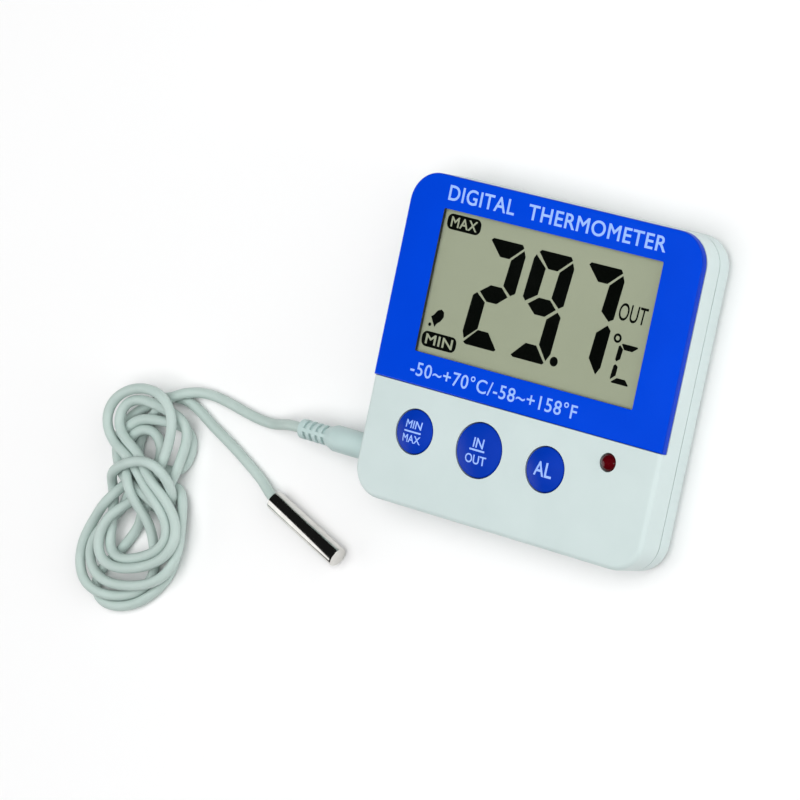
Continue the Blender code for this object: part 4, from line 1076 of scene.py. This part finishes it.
# --- carried-over pieces, room and lights --------------------

CAD_FINISHES = (
    ("steel", ("case_screw", "board_screw", "stand_pin", "battery_spring")),
    ("nickel", ("clock_crystal", "unit_switch_body", "battery_contact", "jack_lug", "plug_sleeve",
                "plug_tip")),
    ("rubber_grey", ("contact_strip", "tact_min_max_plunger", "tact_in_out_plunger",
                     "tact_alarm_plunger")),
    ("board_green", ("circuit_board",)),
    ("cell_wrap", ("aaa_cell",)),
    ("red_wire", ("battery_wire_positive",)),
    ("ceramic", ("room_thermistor", "probe_potting")),
    ("black_plastic", ("",)),
)


def dress_cad_nodes(finishes):
    """Give every CAD piece that stays shown its procedural finish."""
    for name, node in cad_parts.items():
        if node.hide_render:
            continue
        finish = next(f for f, stems in CAD_FINISHES if name.startswith(stems))
        for slot in node.material_slots:
            slot.material = finishes[finish]


FLOOR_HALF = 4.0
FLOOR_Z = -0.05 * MM  # just under the part, so that the two never coincide
SKY_COLOR, SKY_STRENGTH = (0.95, 0.98, 1.0, 1), 0.012
LIT_POINT = Vector((-45 * MM, -20 * MM, 0))
LIGHTS = (  # name, direction, distance, size, power, whether it shows in reflections
    ("key_light", (0.80, 0.35, 0.42), 1.5, 2.0, 17.5, False),
    ("top_light", (0.05, 0.0, 1.0), 1.8, 2.6, 39.0, False),
    ("left_light", (-0.88, -0.36, 0.38), 1.4, 1.1, 4.2, True),
    ("spark_light", (0.98, 0.05, 0.24), 1.3, 0.3, 1.0, True),
)


def make_stage():
    """Plain pale floor and soft studio light."""
    bm = bmesh.new()
    corners = ((-1, -1), (1, -1), (1, 1), (-1, 1))
    bm.faces.new([bm.verts.new((x * FLOOR_HALF, y * FLOOR_HALF, FLOOR_Z)) for x, y in corners])
    mesh = bpy.data.meshes.new("floor")
    bm.to_mesh(mesh)
    bm.free()
    floor = placed("floor", mesh)
    mesh.materials.append(finish_of("floor_pale", (0.90, 0.90, 0.90), (0.92, 0.92, 0.92), 0.8,
                                    drift=3, grain=40, bump=0.0))
    world = bpy.data.worlds.new("studio")
    world.use_nodes = True
    sky = world.node_tree.nodes["Background"]
    sky.inputs["Color"].default_value = SKY_COLOR
    sky.inputs["Strength"].default_value = SKY_STRENGTH
    bpy.context.scene.world = world
    bpy.context.scene.view_settings.view_transform = "Standard"
    for name, direction, distance, size, power, mirrored in LIGHTS:
        data = bpy.data.lights.new(name, "AREA")
        data.shape = "DISK"
        data.size = size
        data.energy = power
        lamp = placed(name, data)
        lamp.visible_glossy = mirrored
        toward = Vector(direction).normalized()
        lamp.location = LIT_POINT + toward * distance
        lamp.rotation_mode = "QUATERNION"
        lamp.rotation_quaternion = toward.to_track_quat("Z", "Y")


make_camera()
finishes = make_finishes()
lead_cord, cord_length = make_cord(finishes["cord_grey"])
plug_body = make_plug(finishes)
probe_tube = make_probe(finishes)
make_front_shell(finishes)
make_back_shell(finishes)
make_battery_door(finishes)
make_stand(finishes)
make_lens(finishes)
make_lcd(finishes)
make_readout(finishes)
make_lens_prints(finishes)
make_keys(finishes)
make_led(finishes)
dress_cad_nodes(finishes)
make_stage()
